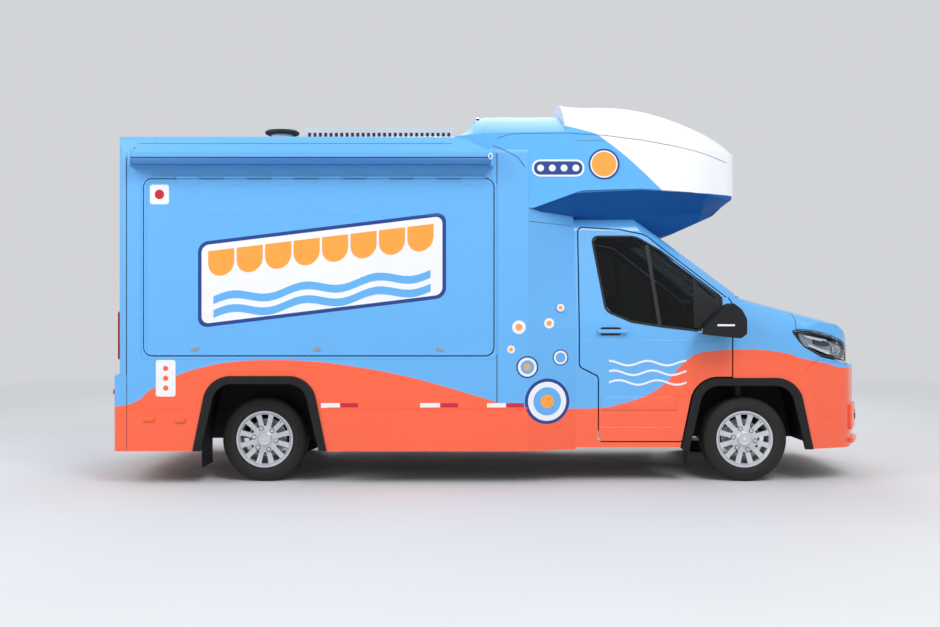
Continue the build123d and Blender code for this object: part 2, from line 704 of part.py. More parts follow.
def skirts():
    """Lower side panels below the wall crease, with the wheel arches open."""
    band = box_shell & block(*box_middle, -1300, 1300, skirt_bottom_z, skirt_top_z)
    return band - rear_arch_body


save("kitchen_right_wall", right_wall())
save("kitchen_left_wall", left_wall())
save("kitchen_left_window", (box_envelope(12) - box_envelope(18)) & left_window_prism(seat_gap))
save("side_skirts", skirts())
save("kitchen_roof", box_shell & block(box_rear_x - 10, box_front_x, -1300, 1300, box_shoulder_z, 2900))


# Rear wall and door
def rear_door_outline(grow):
    """Rear door outline in Y and Z."""
    return outline([
        (-rear_door_half_width - grow, rear_door_bottom_z - grow, 30),
        (-rear_door_half_width - grow, rear_door_top_z + grow, 60),
        (rear_door_half_width + grow, rear_door_top_z + grow, 60),
        (rear_door_half_width + grow, rear_door_bottom_z - grow, 30),
    ])


REAR_WINDOW = [(-230, 1450, 50), (-230, 2050, 50), (230, 2050, 50), (230, 1450, 50)]
rear_hinge_heights = (760.0, 1430.0, 2100.0)
rear_knuckle_radius = 11.0
rear_pin_radius = 5.0
rear_knuckle_half = 25.0
rear_leaf = 4.0


def rear_hinge_side(on_door):
    """Leaves and knuckles of the rear door hinges, on the door or on the wall."""
    axis_x = box_rear_x - rear_door_hinge_out
    body = Part()
    for height in rear_hinge_heights:
        if on_door:
            spans = [(height - rear_knuckle_half, height + rear_knuckle_half)]
            y_pair = (rear_door_hinge_y - 65, rear_door_hinge_y - 6)
            web_y = (rear_door_hinge_y - 10, rear_door_hinge_y - 6)
            bore = rear_pin_radius + pin_clearance
            face_x = box_rear_x
        else:
            start = rear_knuckle_half + seat_gap
            spans = [(height - start - 22, height - start), (height + start, height + start + 22)]
            y_pair = (rear_door_hinge_y + 6, rear_door_hinge_y + 65)
            web_y = (rear_door_hinge_y + 6, rear_door_hinge_y + 10)
            bore = 0
            face_x = box_rear_x
            pin_half = start + 22
            body = body + Pos(axis_x, rear_door_hinge_y, height) * Cylinder(rear_pin_radius, 2 * pin_half)
        for low, high in spans:
            leaf = block(face_x - rear_leaf, face_x, *y_pair, low, high)
            web = block(axis_x, face_x, *web_y, low, high)
            knuckle_form = Pos(axis_x, rear_door_hinge_y, (low + high) / 2) * Cylinder(rear_knuckle_radius, high - low)
            piece = leaf + web + knuckle_form
            if bore:
                piece = piece - Pos(axis_x, rear_door_hinge_y, height) * Cylinder(bore, 3 * rear_knuckle_half)
            body = body + piece
    return body


def rear_wall():
    """Rear wall with rounded corners and the door opening."""
    wall = box_shell & block(box_rear_x - 10, rear_wall_joint_x, -1300, 1300, floor_z - floor_thickness,
                             box_shoulder_z)
    wall = wall - front_prism(rear_door_outline(door_gap), box_rear_x - 50, box_rear_x + 200)
    return wall + rear_hinge_side(False)


save("kitchen_rear_wall", rear_wall())
rear_door = front_prism(rear_door_outline(0), box_rear_x, box_rear_x + box_wall)
rear_door = rear_door - front_prism(outline(REAR_WINDOW), box_rear_x - 10, box_rear_x + 100)
save("rear_door", rear_door + rear_hinge_side(True))
save("rear_door_window", front_prism(outline(REAR_WINDOW, seat_gap), box_rear_x + 10, box_rear_x + 16))


# Floor with the rear wheel housings
housing_half = arch_foot_half + 30
housing_inner_y = 650.0
housing_top_z = rear_arch_top_z + 55
housing_wall = 12.0


def kitchen_floor():
    """Floor slab with a box over each rear wheel."""
    half = box_half_width - box_wall - seat_gap
    slab = block(box_rear_x, box_front_x, -half, half, floor_z - floor_thickness, floor_z)
    slab = slab & box_envelope(box_wall + seat_gap)
    slab = slab + block(box_front_x, cab_rear_x - seat_gap, -990, 990, floor_z - floor_thickness, floor_z)
    for side in (-1, 1):
        y_pair = sorted((side * housing_inner_y, side * half))
        slab = slab + block(rear_axle_x - housing_half, rear_axle_x + housing_half, *y_pair,
                            floor_z - floor_thickness, housing_top_z)
    for side in (-1, 1):
        y_pair = sorted((side * (housing_inner_y + housing_wall), side * (half + 20)))
        slab = slab - block(rear_axle_x - housing_half + housing_wall, rear_axle_x + housing_half - housing_wall,
                            *y_pair, 300, housing_top_z - housing_wall)
    return slab


save("kitchen_floor", kitchen_floor())


# Over-cab pod
def pod_loft(stations, inset, ruled):
    """Loft of sections with straight sides and an arched top."""
    sections = []
    for x, half, crease_z, crown_z in stations:
        low = (half - inset, 2000)
        crease = (half - inset, crease_z - inset * 0.8)
        crown = (0, crown_z - inset)
        edges = [
            Line((-low[0], low[1]), low), Line(low, crease),
            ThreePointArc(crease, crown, (-crease[0], crease[1])),
            Line((-crease[0], crease[1]), (-low[0], low[1])),
        ]
        sections.append(Pos(x, 0, 0) * (Plane.YZ * make_face(edges)))
    return loft(sections, ruled=ruled)


def pod_form(inset):
    """Outer form of the pod, moved inwards by inset, with the step of its cap closed."""
    last = POD_REAR_STATIONS[-1]
    rear_stations = POD_REAR_STATIONS[:-1] + [(last[0] + inset, *last[1:])]
    cap = pod_loft(POD_FRONT_STATIONS, inset, False)
    if inset:
        cap = cap - block(last[0] - 10, last[0] + inset, -1300, 1300, 1900, 3200)
    form = pod_loft(rear_stations, inset, True) + cap
    form = form & plan_prism(outline(both_plan_halves(POD_PLAN), inset), 2000, 3200)
    return form & side_prism(outline(POD_UNDERSIDE, inset), -1300, 1300)


def pod_keel(inset):
    """Keel that slopes from the pod's lower edges to the cab roof, moved inwards by inset."""
    sections = []
    for x, corners in POD_KEEL:
        half = [(y - inset, z) if index < 2 else (y - inset, z + inset) for index, (y, z) in enumerate(corners)]
        points = [(-y, z) for y, z in half] + [(y, z) for y, z in reversed(half)]
        sections.append(Pos(x, 0, 0) * (Plane.YZ * make_face(Polyline(*points, close=True))))
    form = loft(sections, ruled=True) & side_prism(outline(POD_BELLY, inset), -1300, 1300)
    return form & plan_prism(outline(both_plan_halves(POD_PLAN), inset + 12), 1800, 3200)


pod_wall = 25.0
pod_hatch_half = 900.0
pod_outer = pod_form(0) + pod_keel(0)
keel_inside = pod_keel(pod_wall)
pod = pod_outer - pod_form(pod_wall) - (keel_inside + Pos(0, 0, 60) * keel_inside)
pod = pod - box_envelope(-seat_gap) - cab_seat
pod = pod - block(box_front_x - 10, box_front_x + 60, -pod_hatch_half, pod_hatch_half, 2300, 2620)
save("over_cab_pod", pod.solids().sort_by(SortBy.VOLUME)[-1])


# Joint between the kitchen box and the cab
def joint_form(inset):
    """Form between the box's section and the cab's, moved inwards by inset and then open above and below."""
    sections = []
    for x, corners in JOINT_SECTIONS:
        if inset:
            corners = [(corners[0][0], 150, 0)] + corners[1:-1] + [(corners[-1][0], 2400, 0)]
        sections.append(Pos(x, 0, 0) * (Plane.YZ * outline(both_halves(corners), inset)))
    return loft(sections, ruled=True)


joint_panels = joint_form(0) - joint_form(box_wall)
joint_panels = joint_panels & block(box_front_x, cab_rear_x - seat_gap, -1300, 1300, skirt_bottom_z, 2250)
joint_panels = joint_panels - (pod_outer + Pos(0, 0, -seat_gap) * pod_outer)
save("cab_joint_panels", *[piece for piece in joint_panels.solids() if piece.volume > 1e6])


# Serving hatch with its knuckled hinge
knuckle_pitch = (hatch_front_x - hatch_rear_x - 2 * hatch_corner_radius) / hinge_knuckle_count


def knuckles(offset):
    """Every second knuckle along the hinge line, with the places of their middles."""
    length = knuckle_pitch - hinge_knuckle_gap
    start = hatch_rear_x + hatch_corner_radius + knuckle_pitch / 2
    return [(start + knuckle_pitch * index, length) for index in range(offset, hinge_knuckle_count, 2)]


def knuckle_ring(x_middle, length, bore):
    """One hinge knuckle along X."""
    ring = Circle(hinge_knuckle_radius) - Circle(bore)
    return Pos(x_middle - length / 2, hatch_hinge_y, hatch_hinge_z) * extrude(Plane.YZ * ring, length)


def hatch_panel():
    """Hatch panel and the knuckles on its upper edge."""
    panel = side_prism(hatch_outline(0), -box_half_width, -box_half_width + hatch_thickness)
    for x_middle, length in knuckles(1):
        leaf = block(x_middle - length / 2, x_middle + length / 2, -box_half_width - hinge_leaf_thickness,
                     -box_half_width, hatch_top_z - 45, hatch_hinge_z - 3)
        web = block(x_middle - length / 2, x_middle + length / 2, hatch_hinge_y, -box_half_width,
                    hatch_hinge_z - 9, hatch_hinge_z - 5)
        bore = rod((x_middle - length, hatch_hinge_y, hatch_hinge_z),
                   (x_middle + length, hatch_hinge_y, hatch_hinge_z), hinge_pin_radius + pin_clearance)
        panel = panel + leaf + ((web + knuckle_ring(x_middle, length, hinge_pin_radius + pin_clearance)) - bore)
    return panel


def hinge_on_wall():
    """Hinge pin, its knuckles and their leaves on the wall above the hatch."""
    first, last = knuckles(0)[0], knuckles(0)[-1]
    pin = rod((first[0] - first[1] / 2, hatch_hinge_y, hatch_hinge_z),
              (knuckles(1)[-1][0] + last[1] / 2, hatch_hinge_y, hatch_hinge_z), hinge_pin_radius)
    body = pin
    for x_middle, length in knuckles(0):
        leaf = block(x_middle - length / 2, x_middle + length / 2, -box_half_width - hinge_leaf_thickness - 2,
                     -box_half_width - seat_gap, hatch_hinge_z + 4, hatch_hinge_z + 40)
        web = block(x_middle - length / 2, x_middle + length / 2, hatch_hinge_y, -box_half_width - seat_gap,
                    hatch_hinge_z + 4, hatch_hinge_z + 8)
        body = body + leaf + web + knuckle_ring(x_middle, length, hinge_pin_radius - 0.5)
    return body


save("serving_hatch", hatch_panel())
save("hatch_hinge", hinge_on_wall())


# Awning cassette
def awning():
    """Closed cassette with a rounded front, end caps and wall brackets."""
    face = outline([(-box_half_width - seat_gap, awning_bottom_z + 8, 0),
                    (-box_half_width - awning_depth, awning_bottom_z, 50),
                    (-box_half_width - awning_depth, awning_bottom_z + awning_height, 30),
                    (-box_half_width - seat_gap, awning_bottom_z + awning_height - 2, 0)])
    return front_prism(face, awning_rear_x, awning_front_x)


save("awning_cassette", awning())

# Arch trims
front_trim = arch_trim(front_axle_x, front_arch_top_z, cab_half_width)
rear_trim = arch_trim(rear_axle_x, rear_arch_top_z, box_half_width)
save("arch_trims", front_trim, rear_trim, mirrored(front_trim), mirrored(rear_trim))

# Wheel liners, each with the mud flap behind its wheel
liner_gap = 15.0
liner_wall = 6.0
liner_bottom_z = cab_sill_z + 30
front_liner_inner_y = 555.0
rear_liner_inner_y = 668.0
flap_thickness = 8.0
flap_bottom_z = 130.0
flap_top_z = 480.0
flap_inner_y = 800.0


def wheel_liner(axle_x, top_z, outer_y, inner_y):
    """Curved liner over a right wheel, open below and to the side."""
    outer = arch_prism(axle_x, top_z + liner_gap, -liner_gap, -outer_y, -inner_y)
    inner = arch_prism(axle_x, top_z + liner_gap, -liner_gap - liner_wall, -outer_y - 10, -inner_y - liner_wall)
    return (outer - inner) & block(axle_x - 700, axle_x + 700, -1200, -400, liner_bottom_z, 1000)


front_liner_outer_y = cab_half_width - arch_trim_thickness - seat_gap
right_liner = wheel_liner(front_axle_x, front_arch_top_z, front_liner_outer_y, front_liner_inner_y)
right_liner = right_liner - Pos(front_axle_x, -kingpin_y, 600) * Cylinder(kingpin_radius + 12, 800)
front_flap_x = 1560.0
front_flap = block(front_flap_x, front_flap_x + flap_thickness, -front_liner_outer_y, -flap_inner_y, flap_bottom_z,
                   flap_top_z)
right_liner = right_liner + front_flap
save("front_wheel_liners", right_liner, mirrored(right_liner))

rear_liner_outer_y = box_half_width - box_wall - 2 * seat_gap
rear_liner = wheel_liner(rear_axle_x, rear_arch_top_z, rear_liner_outer_y, rear_liner_inner_y)
rear_liner = rear_liner - block(rear_axle_x - 60, rear_axle_x + 60, -720, -620, 200, 390)
rear_flap_x = rear_axle_x - 452.0
rear_flap = block(rear_flap_x, rear_flap_x + flap_thickness, -rear_liner_outer_y, -flap_inner_y, flap_bottom_z,
                  flap_top_z)
rear_liner = rear_liner + rear_flap
save("rear_wheel_liners", rear_liner, mirrored(rear_liner))


# Chassis frame
cross_member_z = rail_bottom_z + 15
outrigger_z = rail_bottom_z + 45
tow_socket_radius = 8.0
tow_socket_depth = 60.0
jack_pad_height = 10.0


def chassis_frame():
    """Two rails, their cross members, and outriggers under the floor."""
    frame = Part()
    for side in (-1, 1):
        y_middle = side * rail_y
        frame = frame + block(rail_rear_x, rail_front_x, y_middle - rail_width / 2, y_middle + rail_width / 2,
                              rail_bottom_z, rail_bottom_z + rail_height - seat_gap)
    for x in (-2740, -2150, -1300, -650, 0, 650, 1250, 2700):
        frame = frame + block(x - 40, x + 40, -rail_y, rail_y, cross_member_z, cross_member_z + 60)
    for x, half in ((-2500, 1080), (-900, 1080), (-100, 1080), (500, 1000)):
        frame = frame + block(x - 25, x + 25, -half, half, outrigger_z, rail_bottom_z + rail_height - seat_gap)
    for x in (1000, 1450):
        frame = frame + block(x - 30, x + 30, -880, 880, cross_member_z + 45,
                              cab_floor_z - cab_floor_thickness - seat_gap)
    for x in (-1200, 1450):
        for side in (-1, 1):
            frame = frame + block(x - 45, x + 45, side * rail_y - 30, side * rail_y + 30,
                                  rail_bottom_z - jack_pad_height, rail_bottom_z + 5)
    socket_z = rail_bottom_z + rail_height / 2
    frame = frame - rod((rail_front_x + 10, -rail_y, socket_z), (rail_front_x - tow_socket_depth, -rail_y, socket_z),
                        tow_socket_radius)
    frame = frame - rod((rail_rear_x - 10, -rail_y, socket_z), (rail_rear_x + tow_socket_depth, -rail_y, socket_z),
                        tow_socket_radius)
    return frame


save("chassis_frame", chassis_frame())


# Rear axle
def rear_axle():
    """Torsion tube under the rails with trailing arms, stub axles and brake plates."""
    tube_x = rear_axle_x + torsion_tube_offset
    tube_top = rail_bottom_z - seat_gap
    axle = block(tube_x - torsion_tube_half, tube_x + torsion_tube_half, -620, 620, tube_top - 90, tube_top)
    for side in (-1, 1):
        arm_pair = sorted((side * 560, side * 630))
        axle = axle + block(rear_axle_x - 60, tube_x + torsion_tube_half, *arm_pair, 275, tube_top + 30)
        plate = Pos(rear_axle_x, side * 700, axle_z) * Rot(90, 0, 0) * Cylinder(brake_disc_radius - 15, 12)
        stub = rod((rear_axle_x, side * 600, axle_z), (rear_axle_x, side * 706, axle_z), 45)
        spindle = rod((rear_axle_x, side * 700, axle_z), (rear_axle_x, side * (wheel_y + 30), axle_z),
                      stub_axle_radius)
        axle = axle + plate + stub + spindle
    return axle


save("rear_axle", rear_axle())


# Front suspension and knuckles
knuckle_low_z = 212.0
knuckle_high_z = 478.0


def front_suspension():
    """Subframe, lower arms and struts up to the body."""
    frame = block(front_axle_x - 170, front_axle_x + 170, -400, 400, 235, rail_bottom_z - seat_gap)
    for side in (-1, 1):
        for x in (front_axle_x - 120, front_axle_x + 120):
            frame = frame + rod((x, side * 390, 265), (front_axle_x, side * kingpin_y, 188), 16)
        frame = frame + rod((front_axle_x, side * kingpin_y, 174), (front_axle_x, side * kingpin_y, knuckle_low_z),
                            kingpin_radius)
        frame = frame + rod((front_axle_x, side * kingpin_y, knuckle_high_z), (front_axle_x, side * kingpin_y, 860),
                            kingpin_radius)
        rail_side = rail_y + rail_width / 2 + seat_gap
        frame = frame + block(front_axle_x - 45, front_axle_x + 45, *sorted((side * rail_side, side * 800)), 850, 872)
        frame = frame + block(front_axle_x - 40, front_axle_x + 40, *sorted((side * rail_side, side * 550)),
                              rail_bottom_z + 10, 872)
    return frame


save("front_suspension", front_suspension())


def knuckle():
    """Right steering knuckle with its spindle and steering arm."""
    post = rod((front_axle_x, -kingpin_y, knuckle_low_z + seat_gap),
               (front_axle_x, -kingpin_y, knuckle_high_z - seat_gap), kingpin_radius)
    spindle = rod((front_axle_x, -kingpin_y, axle_z), (front_axle_x, -wheel_y - 30, axle_z), stub_axle_radius)
    arm = block(front_axle_x - 150, front_axle_x, -kingpin_y - 12, -kingpin_y + 12, 240, 262)
    return post + spindle + arm


right_knuckle = knuckle()
save("knuckle_right", right_knuckle)
save("knuckle_left", mirrored(right_knuckle))


# Wheels, built about the Y axis with the outside towards +Y
def rim():
    """Wheel with a barrel, a dished face of spokes and windows, hub and brake disc."""
    half = rim_width / 2
    flange = rim_radius + rim_flange_height
    barrel = make_face(Polyline(
        (rim_radius - 9, -half), (flange, -half), (flange, -half + 7), (rim_radius, -half + 16),
        (rim_radius, half - 16), (flange, half - 7), (flange, half), (rim_radius + 6, half),
        (rim_radius - 9, half - 18), close=True))
    disc = make_face(Polyline(
        (rim_radius - 6, half - 30), (rim_radius - 6, half - 10), (nut_circle_radius + 30, half - 22),
        (wheel_cap_radius + 6, half - 12), (wheel_cap_radius - 4, half - 4), (0, half - 1), (0, half - 46),
        (nut_circle_radius + 30, half - 40), close=True))
    hub = make_face(Polyline((0, -70), (60, -70), (60, -58), (70, half - 30), (0, half - 30), close=True))
    brake = make_face(Polyline((50, -66), (brake_disc_radius, -66), (brake_disc_radius, -46), (50, -46), close=True))
    wheel = revolve(barrel, Axis.Y) + revolve(disc, Axis.Y) + revolve(hub, Axis.Y) + revolve(brake, Axis.Y)
    window = outline([(-14, 122, 6), (-30, 193, 8), (30, 193, 8), (14, 122, 6)])
    window = Pos(0, half + 10, 0) * extrude(Plane.XZ * window, 70)
    for index in range(wheel_window_count):
        wheel = wheel - Rot(0, 360 / wheel_window_count * index, 0) * window
    for index in range(wheel_nut_count):
        angle = math.radians(360 / wheel_nut_count * index + 10)
        centre = (nut_circle_radius * math.cos(angle), nut_circle_radius * math.sin(angle))
        hole = Plane.XZ * (Pos(*centre) * Circle(nut_hole_radius))
        wheel = wheel - Pos(0, half + 10, 0) * extrude(hole, 45)
    bore = rod((0, -80, 0), (0, 31, 0), stub_axle_radius + pin_clearance)
    return wheel - bore


def tyre():
    """Tyre section with flat tread, rounded shoulders and bulged walls."""
    half = tyre_width / 2
    bead = rim_radius + seat_gap
    section = make_face(Polyline(
        (bead, -rim_width / 2 + 18), (bead, rim_width / 2 - 18), (rim_radius + rim_flange_height + 1, half - 22),
        (rim_radius + rim_flange_height + 8, half - 8), (rim_radius + 52, half), (tyre_radius - 34, half - 5),
        (tyre_radius - 8, half - 20), (tyre_radius, half - 34), (tyre_radius, -half + 34),
        (tyre_radius - 8, -half + 20), (tyre_radius - 34, -half + 5), (rim_radius + 52, -half),
        (rim_radius + rim_flange_height + 8, -half + 8), (rim_radius + rim_flange_height + 1, -half + 22),
        close=True))
    return revolve(section, Axis.Y)


one_rim = rim()
one_tyre = tyre()
for axle_name, axle_x in (("front", front_axle_x), ("rear", rear_axle_x)):
    for side_name, side in (("left", 1), ("right", -1)):
        place = Pos(axle_x, side * wheel_y, axle_z)
        if side < 0:
            place = place * Rot(0, 0, 180)
        save(f"rim_{axle_name}_{side_name}", place * one_rim)
        save(f"tyre_{axle_name}_{side_name}", place * one_tyre)

# Engine, exhaust and tank
save("engine_block", block(2080, 2620, -370, 370, rail_bottom_z, 1130))
exhaust_y = 250.0
exhaust_z = 290.0


def exhaust():
    """Front pipe, silencer and the straps that hang them from the cross members."""
    pipe = rod((1820, exhaust_y, exhaust_z), (-450, exhaust_y, exhaust_z), 30)
    silencer = rod((-450, exhaust_y, exhaust_z), (-1000, exhaust_y, exhaust_z), 48)
    body = pipe + silencer
    for x in (-650, 0, 650, 1250):
        body = body + block(x - 12, x + 12, exhaust_y - 10, exhaust_y + 10, exhaust_z + 20,
                            cross_member_z - seat_gap)
    return body


save("exhaust", exhaust())
save("fuel_tank", block(-500, 400, -1050, -480, 275, outrigger_z - seat_gap))

# Rear bumper
bumper_corner_z = 840.0


def rear_bumper():
    """Corner mouldings with a low step between them."""
    plan = [(rear_wall_joint_x, box_half_width + 3, 0), (box_rear_x - 30, box_half_width + 3, 60),
            (box_rear_x - 62, 900, 60), (rear_x, 500, 60), (rear_x, -500, 60), (box_rear_x - 62, -900, 60),
            (box_rear_x - 30, -box_half_width - 3, 60), (rear_wall_joint_x, -box_half_width - 3, 0)]
    form = plan_prism(outline(plan), skirt_bottom_z, bumper_corner_z)
    form = form - box_envelope(-seat_gap)
    low_step = block(rear_x - 10, box_rear_x + 10, -560, 560, skirt_bottom_z + 110, bumper_corner_z + 10)
    return form - low_step


save("rear_bumper", rear_bumper())

# Tail lamps
lamp_depth = 12.0


def tail_lamp():
    """Upright lamp on the right rear corner."""
    face = outline([(-1100, 960, 20), (-1100, 1330, 20), (-990, 1330, 20), (-990, 960, 20)])
    return front_prism(face, box_rear_x - lamp_depth, box_rear_x - seat_gap)


save("tail_lamps", tail_lamp(), mirrored(tail_lamp()))

# Roof vent and roof unit
vent_x = -1690.0
vent_y = -500.0
vent = Pos(vent_x, vent_y, 0) * (
    Pos(0, 0, 2760) * Cylinder(90, 110) + Pos(0, 0, 2819) * Cylinder(125, 24))
save("roof_vent", vent - box_envelope(-seat_gap))
roof_unit_top_z = 2875.0
unit = block(-1540, -275, -350, 350, 2700, roof_unit_top_z) - box_envelope(-seat_gap)
save("roof_unit", unit)

# Kitchen fittings seen through the open hatch
counter_depth = 480.0
counter_top_z = 970.0
cabinet_wall = 25.0
inner_y = box_half_width - box_wall - seat_gap


def serving_counter():
    """Counter under the hatch, cut out for the wheel housing."""
    counter = block(-2600, 40, -inner_y, -inner_y + counter_depth, floor_z + seat_gap, counter_top_z)
    housing = block(rear_axle_x - housing_half - 5, rear_axle_x + housing_half + 5, -inner_y - 10, -housing_inner_y + 6,
                    400, housing_top_z + seat_gap)
    shelves = block(-2570, -2320, -inner_y + 30, -inner_y + counter_depth + 10, 560, 920)
    open_shelf = block(-1150, 10, -inner_y + 30, -inner_y + counter_depth + 10, 560, 920)
    return counter - housing - shelves - open_shelf


def cooking_line():
    """Cooking counter, upright cooler and extractor hood along the left wall."""
    line = block(-2300, -300, inner_y - 600, inner_y, floor_z + seat_gap, 1380)
    housing = block(rear_axle_x - housing_half - 5, rear_axle_x + housing_half + 5, housing_inner_y - 6, inner_y + 10,
                    400, housing_top_z + seat_gap)
    cooler = block(-250, 280, inner_y - 620, inner_y, floor_z + seat_gap, 2250)
    hood = side_prism(outline([(-2300, 2050, 0), (-300, 2050, 0), (-500, 2400, 0), (-2100, 2400, 0)]),
                      inner_y - 620, inner_y)
    line = line - block(-2300 + cabinet_wall, -300 - cabinet_wall, inner_y - 600 + cabinet_wall, inner_y + 10,
                        floor_z + cabinet_wall, 1380 - cabinet_wall)
    cooler = cooler - block(-250 + cabinet_wall, 280 - cabinet_wall, inner_y - 620 + cabinet_wall, inner_y + 10,
                            floor_z + cabinet_wall, 2250 - cabinet_wall)
    return [line - housing, cooler, hood]


save("serving_counter", serving_counter())
save("cooking_line", *cooking_line())
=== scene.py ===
"""Looks of the food truck: paint, trim, signs, tyres, seats and small fittings around its packed parts."""

import logging
import math
from contextlib import contextmanager
from dataclasses import dataclass, field
from enum import Enum
from typing import Callable, Iterable, Iterator, Sequence

import bpy
from mathutils import Matrix, Vector


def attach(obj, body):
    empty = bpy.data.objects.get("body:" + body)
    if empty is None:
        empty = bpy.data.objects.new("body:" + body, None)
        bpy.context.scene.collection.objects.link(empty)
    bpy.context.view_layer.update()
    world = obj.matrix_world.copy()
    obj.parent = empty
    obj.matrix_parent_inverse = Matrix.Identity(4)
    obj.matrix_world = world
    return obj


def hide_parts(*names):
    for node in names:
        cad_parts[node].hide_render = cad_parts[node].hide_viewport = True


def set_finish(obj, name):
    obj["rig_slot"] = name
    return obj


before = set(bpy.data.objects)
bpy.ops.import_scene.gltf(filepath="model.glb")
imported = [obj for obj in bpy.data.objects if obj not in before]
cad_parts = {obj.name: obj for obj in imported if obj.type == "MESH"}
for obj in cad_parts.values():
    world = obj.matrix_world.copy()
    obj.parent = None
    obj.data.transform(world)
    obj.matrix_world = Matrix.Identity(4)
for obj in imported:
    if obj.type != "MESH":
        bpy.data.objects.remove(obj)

log = logging.getLogger("food_truck")
Colour = tuple[float, float, float]
Point2 = tuple[float, float]
Corner = tuple[float, float, float]
Reach = tuple[float, float, float, float]
Line = tuple[Point2, ...]
Outline = Sequence[Point2]
Piece = bpy.types.Object
Socket = bpy.types.NodeSocket
Skin = str | Sequence[str]


def srgb(red: int, green: int, blue: int) -> Colour:
    """Turn display colour values of 0 to 255 into a scene colour."""
    def one(level: int) -> float:
        share = level / 255
        return share / 12.92 if share <= 0.04045 else ((share + 0.055) / 1.055) ** 2.4
    return one(red), one(green), one(blue)


def darker(colour: Colour, share: float = 0.8) -> Colour:
    """A share of a colour's light."""
    return tuple(share * part for part in colour)


SKY_BLUE = srgb(96, 172, 232)
SIGNAL_ORANGE = srgb(247, 96, 58)
CAP_WHITE = srgb(232, 233, 238)
NAVY = srgb(18, 60, 138)
SIGN_ORANGE = srgb(250, 160, 60)
TAPE_RED = srgb(205, 28, 52)
# Painted shade: deep blue for the pod's underside and chin
SHADED_UNDERSIDE_BLUE = srgb(24, 88, 158)
LINING_WHITE = srgb(222, 224, 226)

# The livery's wave: height of the orange field's upper edge along the vehicle
WAVE = (
    (-3.00, 0.600), (-2.88, 0.600), (-2.585, 0.730), (-2.387, 0.837), (-2.203, 0.898), (-1.897, 0.950),
    (-1.668, 0.960), (-1.362, 0.950), (-1.056, 0.914), (-0.674, 0.845), (-0.292, 0.745), (-0.063, 0.677),
    (0.281, 0.600), (0.679, 0.577), (0.870, 0.582), (1.025, 0.613), (1.180, 0.659), (1.296, 0.714),
    (1.397, 0.791), (1.467, 0.877), (1.552, 0.954), (1.684, 1.016), (1.995, 1.036), (2.305, 1.009),
    (2.421, 0.970), (2.654, 0.923), (2.770, 0.892), (3.00, 0.880),
)
# The pod's white cap: height of its lower edge along the vehicle
CAP_EDGE = (
    (0.38, 2.830), (0.541, 2.783), (0.702, 2.733), (0.824, 2.687), (0.893, 2.641),
    (1.008, 2.557), (1.161, 2.427), (1.275, 2.320), (1.344, 2.252), (1.420, 2.150), (2.20, 2.100),
)


class Facing(Enum):
    """Side of the vehicle on which a piece is drawn, as seen from outside."""

    RIGHT = "right"
    LEFT = "left"
    FRONT = "front"
    REAR = "rear"
    TOP = "top"

    def point(self, along: float, up: float, out: float) -> Vector:
        """Place a drawn point in the vehicle's frame.

        Args:
            along: distance along the side, or across the front and rear.
            up: height, or the sideways place on the top.
            out: distance outwards from the vehicle's middle plane.

        Returns:
            The point in metres.
        """
        places = {
            Facing.RIGHT: (along, -out, up), Facing.LEFT: (along, out, up), Facing.FRONT: (out, along, up),
            Facing.REAR: (-out, along, up), Facing.TOP: (along, up, out),
        }
        return Vector(places[self])


RIGHT, LEFT, FRONT, REAR, TOP = Facing
SIDES = (RIGHT, LEFT)


def oblong(left: float, low: float, right: float, high: float) -> list[Point2]:
    """Corners of an upright oblong, in order round it."""
    return [(left, low), (right, low), (right, high), (left, high)]


def circle(along: float, up: float, radius: float, sides: int) -> list[Point2]:
    """Points round a circle."""
    turns = [math.tau * step / sides for step in range(sides)]
    return [(along + radius * math.cos(turn), up + radius * math.sin(turn)) for turn in turns]


def wavy(start: Point2, length: float, swing: float, waves: int, steps: int,
         lag: float = 0.0) -> list[Point2]:
    """Points of a level wavy line.

    Args:
        start: place along and middle height of the line's start.
        length: length of the line.
        swing: how far it rises above its middle height.
        waves: whole waves along it.
        steps: runs along it.
        lag: angle at which the first wave starts.

    Returns:
        The line's points in order.
    """
    return [(start[0] + length * step / steps,
             start[1] + swing * math.sin(math.tau * waves * step / steps + lag)) for step in range(steps + 1)]


def stripe(line: Outline, half: float) -> list[Point2]:
    """Outline of a stripe that lies this far below and above a line."""
    return [(along, up - half) for along, up in line] + [(along, up + half) for along, up in reversed(line)]


def rounded(corners: Sequence[Corner], steps: int = 6) -> list[Point2]:
    """Points of an outline whose corners are rounded.

    Args:
        corners: place along, height and radius of each corner, in order.
        steps: runs around each rounded corner.

    Returns:
        The outline's points in order.
    """
    points = []
    for index, (along, up, radius) in enumerate(corners):
        here = Vector((along, up))
        before = (Vector(corners[index - 1][:2]) - here).normalized()
        after = (Vector(corners[(index + 1) % len(corners)][:2]) - here).normalized()
        half = before.angle(after) / 2
        if radius <= 0 or half > math.radians(89):
            points.append((along, up))
            continue
        reach = radius / math.tan(half)
        start, end = here + before * reach, here + after * reach
        for step in range(steps + 1):
            share = step / steps
            spot = start * (1 - share) ** 2 + here * 2 * share * (1 - share) + end * share ** 2
            points.append((spot.x, spot.y))
    return points


def grown(points: Outline, amount: float) -> list[Point2]:
    """Move an outline's points outwards.

    Args:
        points: closed outline in order.
        amount: how far each point moves.

    Returns:
        The grown outline.
    """
    count = len(points)
    area = sum(points[i - 1][0] * points[i][1] - points[i][0] * points[i - 1][1] for i in range(count))
    turn = 1.0 if area > 0 else -1.0
    result = []
    for index, here in enumerate(points):
        before, after = Vector(points[index - 1]), Vector(points[(index + 1) % count])
        way = (after - before).normalized()
        result.append((here[0] + way.y * turn * amount, here[1] - way.x * turn * amount))
    return result


